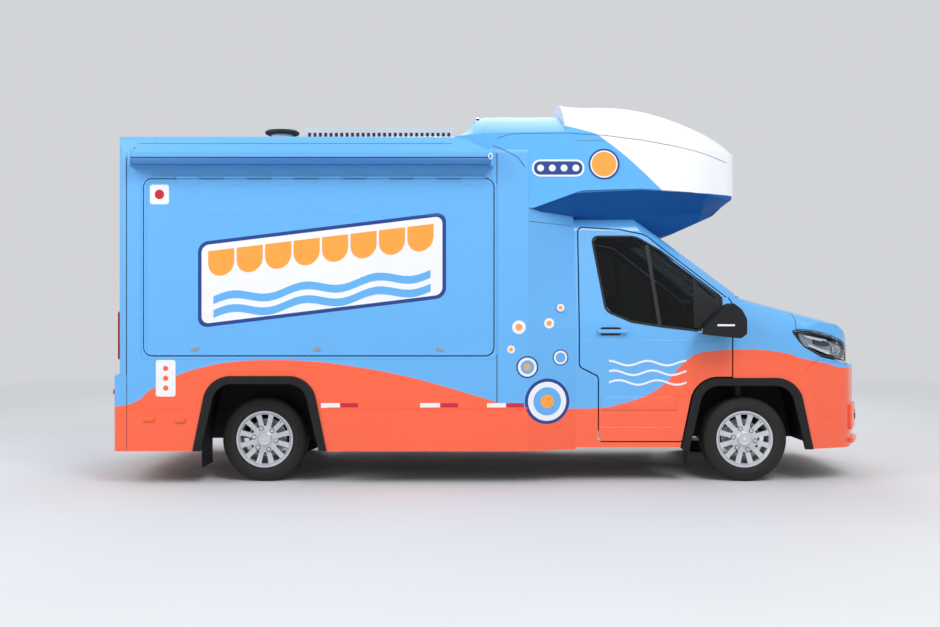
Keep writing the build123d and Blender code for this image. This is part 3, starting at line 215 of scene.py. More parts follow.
class Graph:
    """A material's node tree while it is being wired."""

    def __init__(self, material: bpy.types.Material) -> None:
        """Take up a material."""
        material.use_nodes = True
        self.material = material
        self.tree = material.node_tree

    def put(self, node: bpy.types.Node, place: int | str, value: object) -> None:
        """Feed an input of a node from a socket or with a value.

        Args:
            node: the node.
            place: the input's name or number.
            value: socket to link, or plain value to set.
        """
        if isinstance(value, Socket):
            self.tree.links.new(value, node.inputs[place])
        else:
            node.inputs[place].default_value = value

    def add(self, kind: str, **values: object) -> bpy.types.Node:
        """Add a node and set its properties or inputs.

        Args:
            kind: the node's type without its ShaderNode prefix.
            values: properties, or inputs by name with spaces as underscores, or by _ and their number.

        Returns:
            The node.
        """
        node = self.tree.nodes.new("ShaderNode" + kind)
        for name, value in values.items():
            if hasattr(node, name):
                setattr(node, name, value)
            else:
                self.put(node, int(name[1:]) if name[0] == "_" else name.replace("_", " "), value)
        return node

    def math(self, operation: str, first: object, second: object = 0.0, clamp: bool = False) -> Socket:
        """Result of one sum on two values or sockets."""
        return self.add("Math", operation=operation, use_clamp=clamp, _0=first, _1=second).outputs[0]

    def product(self, first: Socket, *others: Socket) -> Socket:
        """All these shares multiplied."""
        for other in others:
            first = self.math("MULTIPLY", first, other)
        return first

    def above(self, upper: Socket, lower: Socket, softness: float) -> Socket:
        """Soft step: 1 where the first value is the greater one, and 0 where it is the smaller."""
        gap = self.math("DIVIDE", self.math("SUBTRACT", upper, lower), softness)
        return self.math("ADD", gap, 0.5, clamp=True)

    def mix(self, share: object, first: object, second: object) -> Socket:
        """Blend two colours.

        Args:
            share: how much of the second one shows.
            first: colour or socket.
            second: colour or socket.

        Returns:
            Socket with the blend.
        """
        node = self.add("Mix", data_type="RGBA", _0=share)
        for place, value in ((6, first), (7, second)):
            self.put(node, place, value if isinstance(value, Socket) else (*value, 1.0))
        return node.outputs[2]

    def noise(self, vector: Socket, scale: float, detail: float = 3.0) -> Socket:
        """Level of soft noise at a place."""
        return self.add("TexNoise", Vector=vector, Scale=scale, Detail=detail).outputs["Fac"]

    def parts(self, vector: Socket) -> bpy.types.NodeOutputs:
        """X, Y and Z of a place."""
        return self.add("SeparateXYZ", Vector=vector).outputs

    def curve(self, value: Socket, table: Outline) -> Socket:
        """Look up a smooth curve through a table of places and heights.

        Args:
            value: the place to look up.
            table: pairs of place and height, in rising order of place.

        Returns:
            Socket with the height.
        """
        low, high = table[0][0], table[-1][0]
        floor, roof = min(z for _, z in table), max(z for _, z in table)
        share = self.math("DIVIDE", self.math("SUBTRACT", value, low), high - low, clamp=True)
        node = self.add("FloatCurve", Value=share)
        spots = [((place - low) / (high - low), (height - floor) / (roof - floor)) for place, height in table]
        points = node.mapping.curves[0].points
        points[0].location, points[len(points) - 1].location = spots[0], spots[-1]
        for spot in spots[1:-1]:
            points.new(*spot)
        node.mapping.update()
        return self.math("ADD", self.math("MULTIPLY", node.outputs[0], roof - floor), floor)


@dataclass(frozen=True)
class Finish:
    """A procedural surface: slow colour change, fine grain, and roughness that follows both."""

    name: str
    colour: Colour
    slot: str
    shade: Colour | None = None
    roughness: float = 0.5
    roughness_change: float = 0.1
    metallic: float = 0.0
    cloud_scale: float = 3.0
    grain_scale: float = 400.0
    grain_height: float = 0.0002
    coat: float = 0.0
    coat_roughness: float = 0.08
    specular: float = 0.5
    stretch: tuple[float, float, float] = (1.0, 1.0, 1.0)

    def place(self, graph: Graph) -> Socket:
        """Object coordinates, stretched where the surface has a direction."""
        spot = graph.add("TexCoord").outputs["Object"]
        if self.stretch == (1.0, 1.0, 1.0):
            return spot
        return graph.add("Mapping", Vector=spot, Scale=self.stretch).outputs[0]

    def paint(self, graph: Graph, place: Socket, cloud: Socket) -> Socket:
        """Colour of the surface at a place, between the finish's colour and its darker shade."""
        return graph.mix(cloud, self.colour, self.shade or darker(self.colour))

    def height(self, graph: Graph, place: Socket) -> Socket:
        """Height of the grain at a place."""
        return graph.noise(place, self.grain_scale, 2.0)

    def extras(self) -> dict[str, float]:
        """Shader inputs that only some finishes set."""
        return {}

    def build(self) -> bpy.types.Material:
        """Wire the material.

        Returns:
            The finished material.
        """
        graph = Graph(bpy.data.materials.new(self.name))
        graph.tree.nodes.clear()
        place = self.place(graph)
        cloud = graph.noise(place, self.cloud_scale, 4.0)
        rough = graph.math("ADD", graph.math("MULTIPLY", cloud, self.roughness_change),
                           self.roughness - self.roughness_change / 2)
        bump = graph.add("Bump", Height=self.height(graph, place), Distance=self.grain_height, Strength=0.6)
        shader = graph.add(
            "BsdfPrincipled", Base_Color=self.paint(graph, place, cloud), Roughness=rough,
            Normal=bump.outputs[0], Metallic=self.metallic, Coat_Weight=self.coat,
            Coat_Roughness=self.coat_roughness, Specular_IOR_Level=self.specular, **self.extras())
        graph.add("OutputMaterial", Surface=shader.outputs[0])
        return graph.material


@dataclass(frozen=True)
class LiveryFinish(Finish):
    """Sky blue over orange, parted by the wave along the vehicle."""

    edge_softness: float = 0.003
    ripple_scale: float = 7.0
    ripple_share: float = 0.0
    lined: bool = False
    lining_half_width: float = 1.128
    lining_length: tuple[float, float] = (-2.805, 0.320)
    lining_height: tuple[float, float] = (0.480, 2.600)

    def lining(self, graph: Graph, place: Socket) -> Socket:
        """Share of white at a place: 1 on the panels inside the kitchen."""
        x, y, z = graph.parts(place)
        (rear, front), (foot, top) = self.lining_length, self.lining_height
        return graph.product(
            graph.math("LESS_THAN", graph.math("ABSOLUTE", y), self.lining_half_width),
            graph.math("GREATER_THAN", x, rear), graph.math("LESS_THAN", x, front),
            graph.math("LESS_THAN", z, top), graph.math("GREATER_THAN", z, foot))

    def paint(self, graph: Graph, place: Socket, cloud: Socket) -> Socket:
        """Blue and orange fields with a slow change of depth in each."""
        soft = graph.math("MULTIPLY", cloud, 0.28)
        blue = graph.mix(soft, self.colour, darker(self.colour, 0.78))
        orange = graph.mix(soft, SIGNAL_ORANGE, darker(SIGNAL_ORANGE))
        x, _, z = graph.parts(place)
        skin = graph.mix(graph.above(graph.curve(x, WAVE), z, self.edge_softness), blue, orange)
        return graph.mix(self.lining(graph, place), skin, LINING_WHITE) if self.lined else skin

    def height(self, graph: Graph, place: Socket) -> Socket:
        """Orange-peel grain with the slow ripples of a wrapped panel."""
        grain = graph.math("MULTIPLY", graph.noise(place, self.grain_scale, 2.0), 1.0 - self.ripple_share)
        wide = graph.add("Mapping", Vector=place, Scale=(0.35, 1.0, 1.6)).outputs[0]
        ripple = graph.math("MULTIPLY", graph.noise(wide, self.ripple_scale, 1.0), self.ripple_share)
        return graph.math("ADD", grain, ripple)


@dataclass(frozen=True)
class CapFinish(LiveryFinish):
    """Pod paint: a white cap over blue sides, with a deep blue underside."""

    cap_rear_x: float = 0.594
    chin_x: float = 1.45
    chin_z: float = 2.245
    underside: float = -0.35

    def paint(self, graph: Graph, place: Socket, cloud: Socket) -> Socket:
        """White above the cap's edge wherever the skin doesn't face down."""
        x, _, z = graph.parts(place)
        tilt = graph.parts(graph.add("TexCoord").outputs["Normal"])["Z"]
        white_share = graph.product(
            graph.above(z, graph.curve(x, CAP_EDGE), self.edge_softness),
            graph.math("GREATER_THAN", tilt, self.underside), graph.math("GREATER_THAN", x, self.cap_rear_x))
        soft = graph.math("MULTIPLY", cloud, 0.25)
        blue = graph.mix(soft, self.colour, darker(self.colour))
        white = graph.mix(soft, CAP_WHITE, darker(CAP_WHITE, 0.85))
        # Painted shade: deep blue on the chin and wherever the skin faces down
        chin = graph.product(graph.math("GREATER_THAN", x, self.chin_x),
                             graph.math("LESS_THAN", z, self.chin_z))
        painted_shade_share = graph.math("MAXIMUM", graph.math("LESS_THAN", tilt, self.underside), chin)
        return graph.mix(painted_shade_share, graph.mix(white_share, blue, white), SHADED_UNDERSIDE_BLUE)


@dataclass(frozen=True)
class GlassFinish(Finish):
    """Clear or tinted glass with a faint film on it."""

    ior: float = 1.45
    clearness: float = 1.0

    def extras(self) -> dict[str, float]:
        """Let light through."""
        return {"Transmission_Weight": self.clearness, "IOR": self.ior}


@dataclass(frozen=True)
class FabricFinish(Finish):
    """Woven cloth with a soft sheen."""

    thread: float = 900.0

    def height(self, graph: Graph, place: Socket) -> Socket:
        """Crossing threads."""
        x, y, z = graph.parts(place)
        across = graph.math("SINE", graph.math("MULTIPLY", graph.math("ADD", x, z), self.thread))
        return graph.product(across, graph.math("SINE", graph.math("MULTIPLY", y, self.thread)))

    def extras(self) -> dict[str, float]:
        """Give the cloth its sheen."""
        return {"Sheen_Weight": 0.35, "Sheen_Roughness": 0.5}


BODY_PAINT = LiveryFinish("cab_livery", SKY_BLUE, "body_paint", roughness=0.32, coat=0.5, grain_height=0.00003)
WRAP_PAINT = LiveryFinish("kitchen_wrap", SKY_BLUE, "box_paint", roughness=0.38, coat=0.25,
                          grain_height=0.0012, ripple_share=0.97, lined=True)
POD_PAINT = CapFinish("pod_paint", SKY_BLUE, "pod_paint", coat=0.05, grain_height=0.00004, specular=0.15)
AWNING_PAINT = Finish("awning_coating", SKY_BLUE, "awning_metal", None, 0.35, cloud_scale=2.0, coat=0.3,
                      grain_height=0.00003, stretch=(0.1, 1.0, 1.0))
# Painted shade: a darker blue on the awning's rail, for the shaded lower band of the cassette
AWNING_RAIL_PAINTED_SHADE = Finish("awning_rail_painted_shade", srgb(48, 112, 176), "awning_metal", srgb(40, 98, 158), 0.4,
                      cloud_scale=2.0, grain_height=0.00003, stretch=(0.1, 1.0, 1.0))
BLACK_TRIM = Finish("black_moulded_trim", srgb(13, 14, 16), "black_trim", srgb(22, 23, 26), 0.62, 0.2,
                    cloud_scale=6.0, grain_scale=900.0, grain_height=0.0004, specular=0.3)
GLOSS_BLACK = Finish("gloss_black_trim", srgb(14, 14, 16), "black_trim", srgb(24, 24, 27), 0.16, 0.05,
                     coat=0.6)
SEAL_RUBBER = Finish("seal_rubber", srgb(22, 22, 24), "black_trim", srgb(40, 40, 42), 0.75, 0.15)
# Dark lines: the joints' own colour on the seams, and painted shade along the creases
SEAM_SHADE = Finish("seam_line_and_crease_shade", srgb(70, 96, 132), "black_trim", srgb(56, 78, 108), 0.6, 0.15)
TYRE_RUBBER = Finish("tyre_rubber", srgb(15, 15, 17), "tyre_rubber", srgb(32, 31, 30), 0.8, 0.2,
                     cloud_scale=9.0, grain_scale=500.0, grain_height=0.0004)
SILVER_WHEEL = Finish("silver_wheel_paint", srgb(214, 217, 222), "wheel_silver", srgb(190, 193, 199), 0.34,
                      0.12, 0.45, cloud_scale=12.0, grain_scale=1500.0, grain_height=0.00005, coat=0.4)
CHROME = Finish("polished_metal", srgb(225, 228, 232), "wheel_silver", srgb(200, 204, 208), 0.12, 0.06, 1.0)
CHASSIS_PAINT = Finish("chassis_paint", srgb(30, 31, 33), "chassis_paint", srgb(70, 64, 58), 0.6, 0.25,
                       cloud_scale=5.0, grain_scale=200.0, grain_height=0.0005)
ENGINE_METAL = Finish("cast_engine_metal", srgb(96, 97, 98), "engine_metal", srgb(60, 58, 56), 0.6, 0.2, 0.6,
                      cloud_scale=10.0, grain_scale=180.0, grain_height=0.0012)
STAINLESS = Finish("brushed_stainless", srgb(188, 191, 194), "stainless", srgb(158, 161, 165), 0.32, 0.15, 1.0,
                   cloud_scale=20.0, grain_scale=300.0, grain_height=0.0001, stretch=(0.05, 1.0, 1.0))
EXHAUST_STEEL = Finish("heated_steel", srgb(128, 120, 110), "exhaust_metal", srgb(88, 70, 56), 0.5, 0.25, 0.9,
                       cloud_scale=4.0)
DARK_GLASS = GlassFinish("tinted_glass", srgb(70, 78, 82), "glass", srgb(62, 70, 74), 0.02, 0.01,
                         grain_height=0.0, ior=1.3)
CLEAR_GLASS = GlassFinish("clear_windscreen", srgb(196, 208, 206), "glass", srgb(188, 200, 198), 0.02, 0.01,
                          grain_height=0.0, ior=1.3)
LAMP_GLASS = GlassFinish("lamp_cover", srgb(238, 242, 245), "lamp_glass", srgb(228, 233, 238), 0.03, 0.02,
                         grain_height=0.0, ior=1.12)
LAMP_SILVER = Finish("lamp_reflector", srgb(196, 202, 212), "lamp_glass", srgb(150, 158, 170), 0.3, 0.1, 0.5)
LAMP_TEAL = Finish("lamp_lens", srgb(18, 62, 74), "lamp_glass", srgb(12, 44, 54), 0.12, 0.05, coat=0.5)
TAIL_RED = GlassFinish("red_lamp_cover", srgb(190, 16, 26), "tail_red", srgb(160, 10, 18), 0.12, 0.05,
                       grain_height=0.0004, grain_scale=180.0, ior=1.3, clearness=0.3)
RED_TAPE = Finish("red_reflector", TAPE_RED, "tail_red", None, 0.25, grain_scale=500.0, grain_height=0.0003)
AMBER_LENS = Finish("amber_lens", srgb(244, 110, 40), "tail_red", srgb(220, 90, 30), 0.2, 0.05, coat=0.5)
CABIN_PLASTIC = Finish("cabin_plastic", srgb(44, 45, 48), "cabin_plastic", srgb(62, 62, 66), 0.65, 0.15,
                       grain_scale=700.0, grain_height=0.0005)
SEAT_CLOTH = FabricFinish("seat_cloth", srgb(52, 54, 60), "seat_cloth", srgb(34, 35, 40), 0.85,
                          grain_height=0.0006)
FLOOR_BOARD = Finish("floor_board", srgb(98, 92, 84), "floor_board", srgb(70, 66, 60), 0.55, 0.2,
                     cloud_scale=8.0)
VENT_PLASTIC = Finish("vent_plastic", srgb(205, 207, 208), "vent_plastic", srgb(182, 184, 184), 0.5, 0.15)
WHITE_FILM = Finish("white_film", srgb(236, 237, 240), "box_paint", srgb(222, 223, 228), 0.4)
NAVY_FILM = Finish("navy_film", NAVY, "box_paint", None, 0.4)
ORANGE_FILM = Finish("orange_film", SIGN_ORANGE, "box_paint", darker(SIGN_ORANGE, 0.88), 0.4)
BLUE_FILM = Finish("blue_film", SKY_BLUE, "box_paint", darker(SKY_BLUE, 0.88), 0.4)
BLANK_PLATE = Finish("blank_plate", srgb(226, 227, 224), "box_paint", srgb(210, 211, 208), 0.45)

NODE_FINISHES = {
    BODY_PAINT: ("bonnet", "cab_door_left", "cab_door_right", "cab_roof", "cab_shell", "front_fenders",
                 "front_bumper"),
    WRAP_PAINT: ("cab_joint_panels", "kitchen_left_wall", "kitchen_rear_wall", "kitchen_right_wall",
                 "kitchen_roof", "rear_door", "serving_hatch", "rear_bumper", "side_skirts"),
    POD_PAINT: ("over_cab_pod",),
    AWNING_PAINT: ("awning_cassette", "hatch_hinge"),
    BLACK_TRIM: ("arch_trims", "front_wheel_liners", "fuel_tank", "grille", "rear_wheel_liners",
                 "side_mirror_left", "side_mirror_right"),
    CHASSIS_PAINT: ("cab_floor", "chassis_frame", "front_suspension", "rear_axle"),
    ENGINE_METAL: ("engine_block", "knuckle_left", "knuckle_right"),
    STAINLESS: ("cooking_line", "serving_counter"),
    EXHAUST_STEEL: ("exhaust",),
    DARK_GLASS: ("cab_door_window_left", "cab_door_window_right", "kitchen_left_window", "rear_door_window"),
    CLEAR_GLASS: ("windscreen",),
    LAMP_GLASS: ("headlamps",),
    TAIL_RED: ("tail_lamps",),
    CABIN_PLASTIC: ("dashboard",),
    SEAT_CLOTH: ("seats",),
    FLOOR_BOARD: ("kitchen_floor",),
    VENT_PLASTIC: ("roof_unit", "roof_vent"),
    SILVER_WHEEL: ("rim_front_left", "rim_front_right", "rim_rear_left", "rim_rear_right"),
    TYRE_RUBBER: ("tyre_front_left", "tyre_front_right", "tyre_rear_left", "tyre_rear_right"),
}


class Paints:
    """The shelf of finished materials, each built once."""

    _shelf: dict[str, bpy.types.Material] = {}

    @classmethod
    def get(cls, finish: Finish) -> bpy.types.Material:
        """The material of a finish."""
        if finish.name not in cls._shelf:
            cls._shelf[finish.name] = finish.build()
        return cls._shelf[finish.name]

    @classmethod
    def dress_nodes(cls) -> None:
        """Give every packed node its finish."""
        for finish, names in NODE_FINISHES.items():
            for name in names:
                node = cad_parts[name]
                node.data.materials.clear()
                node.data.materials.append(cls.get(finish))
                for face in node.data.polygons:
                    face.material_index = 0


# Side, corners, faces along and up, and how far outside the skin the back and the face lie
Patch = tuple[Facing, Outline, tuple[int, int], float, float]


class Bench:
    """Hand tools that make, shape and fit one mesh at a time."""

    @staticmethod
    def only(*pieces: Piece) -> None:
        """Select these pieces alone."""
        bpy.ops.object.select_all(action="DESELECT")
        for piece in pieces:
            piece.select_set(True)
        bpy.context.view_layer.objects.active = pieces[0]

    @staticmethod
    @contextmanager
    def opened(piece: Piece) -> Iterator[None]:
        """Open a piece for editing with all of it selected, and close it afterwards."""
        Bench.only(piece)
        bpy.ops.object.mode_set(mode="EDIT")
        bpy.ops.mesh.select_all(action="SELECT")
        yield
        bpy.ops.object.mode_set(mode="OBJECT")

    @staticmethod
    def primitive(operator: Callable, **values: object) -> Piece:
        """Add a primitive with nothing else selected.

        Args:
            operator: what adds it.
            values: its sizes and place.

        Returns:
            The primitive.
        """
        bpy.ops.object.select_all(action="DESELECT")
        operator(**values)
        return bpy.context.object

    @staticmethod
    def settle(piece: Piece) -> Piece:
        """Move the piece's place and turn into its mesh."""
        Bench.only(piece)
        bpy.ops.object.transform_apply(location=True, rotation=True, scale=True)
        return piece

    @staticmethod
    def edge(piece: Piece, width: float, segments: int = 2) -> Piece:
        """Round the sharp edges of a piece.

        Args:
            piece: the mesh.
            width: how far the rounding reaches; nothing is rounded at 0.
            segments: faces across the rounding.

        Returns:
            The same piece.
        """
        if width:
            bevel = piece.modifiers.new("edge", "BEVEL")
            bevel.width, bevel.segments = width, segments
            bevel.limit_method, bevel.angle_limit = "ANGLE", math.radians(35)
            Bench.only(piece)
            bpy.ops.object.modifier_apply(modifier=bevel.name)
        return piece

    @staticmethod
    def mend(piece: Piece) -> Piece:
        """Merge doubled points and turn all faces outwards."""
        with Bench.opened(piece):
            bpy.ops.mesh.remove_doubles(threshold=0.00001)
            bpy.ops.mesh.normals_make_consistent(inside=False)
        return piece

    @staticmethod
    def hang(piece: Piece, body: str, slot: str) -> Piece:
        """Hang a piece on its body, and report it."""
        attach(piece, body)
        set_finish(piece, slot)
        log.info("%s rides on %s", piece.name, body)
        return piece

    @staticmethod
    def fit(piece: Piece, name: str, finish: Finish, body: str = "vehicle", smooth: float = 35.0) -> Piece:
        """Name a finished piece, paint it, and hang it on its body.

        Args:
            piece: the shaped mesh.
            name: plain name of the piece.
            finish: its surface.
            body: the moving body that carries it.
            smooth: faces that meet at less than this angle, in degrees, shade smoothly.

        Returns:
            The same piece.
        """
        piece.name = piece.data.name = name
        piece.data.materials.clear()
        piece.data.materials.append(Paints.get(finish))
        Bench.only(piece)
        bpy.ops.object.shade_smooth_by_angle(angle=math.radians(smooth))
        return Bench.hang(piece, body, finish.slot)

    @staticmethod
    def join(pieces: Sequence[Piece]) -> Piece:
        """Make one mesh of several."""
        Bench.only(*pieces)
        if len(pieces) > 1:
            bpy.ops.object.join()
        return pieces[0]

    @staticmethod
    def twin(piece: Piece, name: str, body: str, mirror: bool = False,
             shift: Vector = Vector((0, 0, 0))) -> Piece:
        """Copy a finished piece with its own mesh.

        Args:
            piece: the finished piece.
            name: name of the copy.
            body: body that carries the copy.
            mirror: put the copy on the vehicle's other side.
            shift: how far the copy is moved.

        Returns:
            The copy.
        """
        copy = bpy.data.objects.new(name, piece.data.copy())
        bpy.context.scene.collection.objects.link(copy)
        move = Matrix.Translation(shift)
        if mirror:
            move = move @ Matrix.Diagonal((1, -1, 1, 1))
        copy.data.transform(move)
        if mirror:
            copy.data.flip_normals()
        return Bench.hang(copy, body, piece["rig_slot"])

    @staticmethod
    def pair(piece: Piece, name: str, finish: Finish, body: str = "vehicle") -> None:
        """Fit a piece on the right side and its mirrored twin on the left."""
        Bench.fit(piece, f"{name}_right", finish, body)
        Bench.twin(piece, f"{name}_left", body.replace("right", "left"), mirror=True)

    @staticmethod
    def loop(points: Sequence[Vector]) -> Piece:
        """Flat ring of points, filled with one face."""
        piece = Bench.primitive(bpy.ops.mesh.primitive_circle_add, vertices=len(points), fill_type="NGON",
                                location=(0, 0, 0))
        for vertex, point in zip(piece.data.vertices, points):
            vertex.co = point
        return piece

    @staticmethod
    def plate(facing: Facing, corners: Outline, inner: float, outer: float, radius: float = 0.0,
              rounding: float = 0.0) -> Piece:
        """Cut a plate to an outline and round its corners and edges.

        Args:
            facing: side on which it lies.
            corners: outline as seen on that side.
            inner: how far out its back lies.
            outer: how far out its face lies.
            radius: radius of the outline's corners.
            rounding: radius of the face's edges.

        Returns:
            The closed plate.
        """
        piece = Bench.loop([facing.point(along, up, inner) for along, up in corners])
        with Bench.opened(piece):
            if radius:
                bpy.ops.mesh.bevel(offset=radius, segments=5, affect="VERTICES")
                bpy.ops.mesh.select_all(action="SELECT")
            way = facing.point(0, 0, outer - inner)
            bpy.ops.mesh.extrude_region_move(TRANSFORM_OT_translate={"value": way})
        return Bench.edge(Bench.mend(piece), rounding)

    @staticmethod
    def box(low: Sequence[float], high: Sequence[float], rounding: float = 0.0, segments: int = 2) -> Piece:
        """Block between two corners.

        Args:
            low: its lowest corner.
            high: its highest corner.
            rounding: radius of its edges.
            segments: faces across each rounded edge.

        Returns:
            The block.
        """
        piece = Bench.primitive(bpy.ops.mesh.primitive_cube_add, size=1.0)
        piece.location = [(a + b) / 2 for a, b in zip(low, high)]
        piece.scale = [b - a for a, b in zip(low, high)]
        return Bench.edge(Bench.settle(piece), rounding, segments)

    @staticmethod
    def drum(centre: Sequence[float], axis: Sequence[float], radius: float, length: float, sides: int = 32,
             rounding: float = 0.0) -> Piece:
        """Round bar about an axis.

        Args:
            centre: its middle.
            axis: direction of its axis.
            radius: its radius.
            length: its length along the axis.
            sides: faces around.
            rounding: radius of its end edges.

        Returns:
            The bar.
        """
        turn = Vector(axis).to_track_quat("Z", "Y").to_euler()
        piece = Bench.primitive(bpy.ops.mesh.primitive_cylinder_add, vertices=sides, radius=radius,
                                depth=length, location=centre, rotation=turn)
        return Bench.edge(Bench.settle(piece), rounding)

    @staticmethod
    def turned(profile: Outline, centre: Sequence[float], axis: Sequence[float], steps: int) -> Piece:
        """Spin a closed profile about an axis.

        Args:
            profile: closed outline as distance along the axis and distance from it.
            centre: a point on the axis.
            axis: direction of the axis.
            steps: faces around.

        Returns:
            The closed ring or solid.
        """
        turn = Vector(axis).to_track_quat("Z", "Y").to_matrix()
        middle = Vector(centre)
        piece = Bench.loop([middle + turn @ Vector((away, 0, along)) for along, away in profile])
        with Bench.opened(piece):
            bpy.ops.mesh.delete(type="ONLY_FACE")
            bpy.ops.mesh.select_all(action="SELECT")
            bpy.ops.mesh.spin(steps=steps, angle=math.tau, center=middle, axis=turn @ Vector((0, 0, 1)))
        return Bench.mend(piece)

    @staticmethod
    def bar(points: Sequence[Sequence[float]], radius: float, closed: bool = False) -> Piece:
        """Bend a round bar along points.

        Args:
            points: line that the bar follows.
            radius: radius of the bar.
            closed: join the bar's ends.

        Returns:
            The bar as a mesh.
        """
        line = bpy.data.curves.new("bar", "CURVE")
        line.dimensions, line.bevel_depth, line.bevel_resolution = "3D", radius, 2
        line.use_fill_caps = not closed
        run = line.splines.new("POLY")
        run.points.add(len(points) - 1)
        for spot, point in zip(run.points, points):
            spot.co = (*point, 1.0)
        run.use_cyclic_u = closed
        piece = bpy.data.objects.new("bar", line)
        bpy.context.scene.collection.objects.link(piece)
        Bench.only(piece)
        bpy.ops.object.convert(target="MESH")
        return Bench.mend(bpy.context.object)

    @staticmethod
    def pull(foot: Sequence[float], end: Sequence[float], out: Sequence[float], radius: float) -> Piece:
        """Bow handle that leaves the skin at one place and comes back to it at another."""
        foot, end, out = Vector(foot), Vector(end), Vector(out)
        return Bench.bar([foot, foot + out, end + out, end], radius)

    @staticmethod
    def on_skin(nodes: Skin, facing: Facing, along: float, up: float, proud: float = 0.0) -> Vector:
        """Find where the outermost skin of packed nodes lies under a drawn point.

        Args:
            nodes: name of the packed node, or names of several.
            facing: side from which it is looked at.
            along: distance along the side.
            up: height.
            proud: how far outside the skin the point lies.

        Returns:
            The point on the skin.
        """
        start = facing.point(along, up, 4.0)
        way = (facing.point(along, up, 0.0) - start).normalized()
        found = []
        for name in (nodes,) if isinstance(nodes, str) else nodes:
            hit, spot, normal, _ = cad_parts[name].ray_cast(start, way)
            if hit:
                found.append(((spot - start).length, spot + normal * proud))
        if not found:
            raise ValueError(f"no skin of {nodes} at {along:.3f}, {up:.3f}")
        return min(found, key=lambda row: row[0])[1]

    @staticmethod
    def seam(nodes: Skin, facing: Facing, points: Outline, radius: float, closed: bool = False) -> Piece:
        """Lay a thin line along the skin.

        Args:
            nodes: packed nodes that carry it.
            facing: side on which it is drawn.
            points: corners of the line.
            radius: half of its thickness.
            closed: join its ends.

        Returns:
            The line as a thin bar, half sunk in the skin.
        """
        ends = list(points) + [points[0]] if closed else list(points)
        spots = []
        for first, second in zip(ends, ends[1:]):
            count = max(1, round(math.dist(first, second) / 0.05))
            for step in range(count):
                along, up = Vector(first).lerp(Vector(second), step / count)
                spots.append(Bench.on_skin(nodes, facing, along, up))
        if not closed:
            spots.append(Bench.on_skin(nodes, facing, *ends[-1]))
        return Bench.bar(spots, radius, closed)

    @staticmethod
    def patch(nodes: Skin, facing: Facing, corners: Outline, cells: tuple[int, int], inner: float,
              outer: float) -> Piece:
        """Sheet with a thickness that follows the skin.

        Args:
            nodes: packed nodes under it.
            facing: side on which it is drawn.
            corners: its four corners in order round it.
            cells: faces along its first and second side.
            inner: how far outside the skin its back lies.
            outer: how far outside the skin its face lies.

        Returns:
            The closed sheet.
        """
        piece = Bench.primitive(bpy.ops.mesh.primitive_grid_add, x_subdivisions=cells[0],
                                y_subdivisions=cells[1], size=1)
        first, second, third, fourth = (Vector(corner) for corner in corners)
        faces = {}
        for vertex in piece.data.vertices:
            share, rise = vertex.co.x + 0.5, vertex.co.y + 0.5
            along, up = first.lerp(second, share).lerp(fourth.lerp(third, share), rise)
            vertex.co = Bench.on_skin(nodes, facing, along, up, inner)
            faces[vertex.co.copy().freeze()] = Bench.on_skin(nodes, facing, along, up, outer)
        with Bench.opened(piece):
            bpy.ops.mesh.extrude_region_move(TRANSFORM_OT_translate={"value": (0, 0, 0)})
        for vertex in piece.data.vertices:
            if vertex.select:
                vertex.co = faces[vertex.co.copy().freeze()]
        return Bench.mend(piece)


@dataclass
class RoadTyre:
    """Van tyre with a ribbed tread, plain side walls and shoulder cuts."""

    radius: float = 0.32995
    shoulder_drop: float = 0.0008
    groove_depth: float = 0.0075
    groove_half: float = 0.0045
    groove_slope: float = 0.001
    groove_places: tuple[float, ...] = (0.044, 0.015)
    tread_half: float = 0.068
    steps: int = 90
    cut_every: int = 3
    cut_depth: float = 0.005
    wall: Line = (
        (0.0640, 0.2035), (0.0750, 0.2225), (0.0890, 0.2300), (0.0960, 0.2450), (0.0972, 0.2600),
        (0.0980, 0.2620), (0.0980, 0.2650), (0.0971, 0.2670), (0.0950, 0.2850), (0.0918, 0.3000),
        (0.0870, 0.3120), (0.0800, 0.3220),
    )

    def profile(self) -> list[Point2]:
        """Closed section of the tyre as distance along and from the axle."""
        half = list(self.wall) + [(self.tread_half, self.radius - self.shoulder_drop)]
        root = self.radius - self.groove_depth
        for place in self.groove_places:
            outer, inner = place + self.groove_half, place - self.groove_half
            half += [(outer, self.radius), (outer - self.groove_slope, root),
                     (inner + self.groove_slope, root), (inner, self.radius)]
        return half + [(-along, away) for along, away in reversed(half)]

    def build(self, centre: Vector) -> Piece:
        """Spin the section and press the shoulder cuts into it.

        Args:
            centre: middle of the wheel.

        Returns:
            The tyre.
        """
        piece = Bench.turned(self.profile(), centre, (0, 1, 0), self.steps)
        for face in piece.data.polygons:
            spot = face.center - centre
            away = math.hypot(spot.x, spot.z)
            shoulder = self.radius - 0.002 < away and self.groove_places[0] < abs(spot.y) < self.tread_half
            turn = int((math.atan2(spot.z, spot.x) + math.pi) / math.tau * self.steps)
            face.select = shoulder and turn % self.cut_every == 0
        Bench.only(piece)
        bpy.ops.object.mode_set(mode="EDIT")
        bpy.ops.mesh.select_mode(type="FACE")
        bpy.ops.mesh.extrude_region_shrink_fatten(TRANSFORM_OT_shrink_fatten={"value": -self.cut_depth})
        bpy.ops.object.mode_set(mode="OBJECT")
        return piece


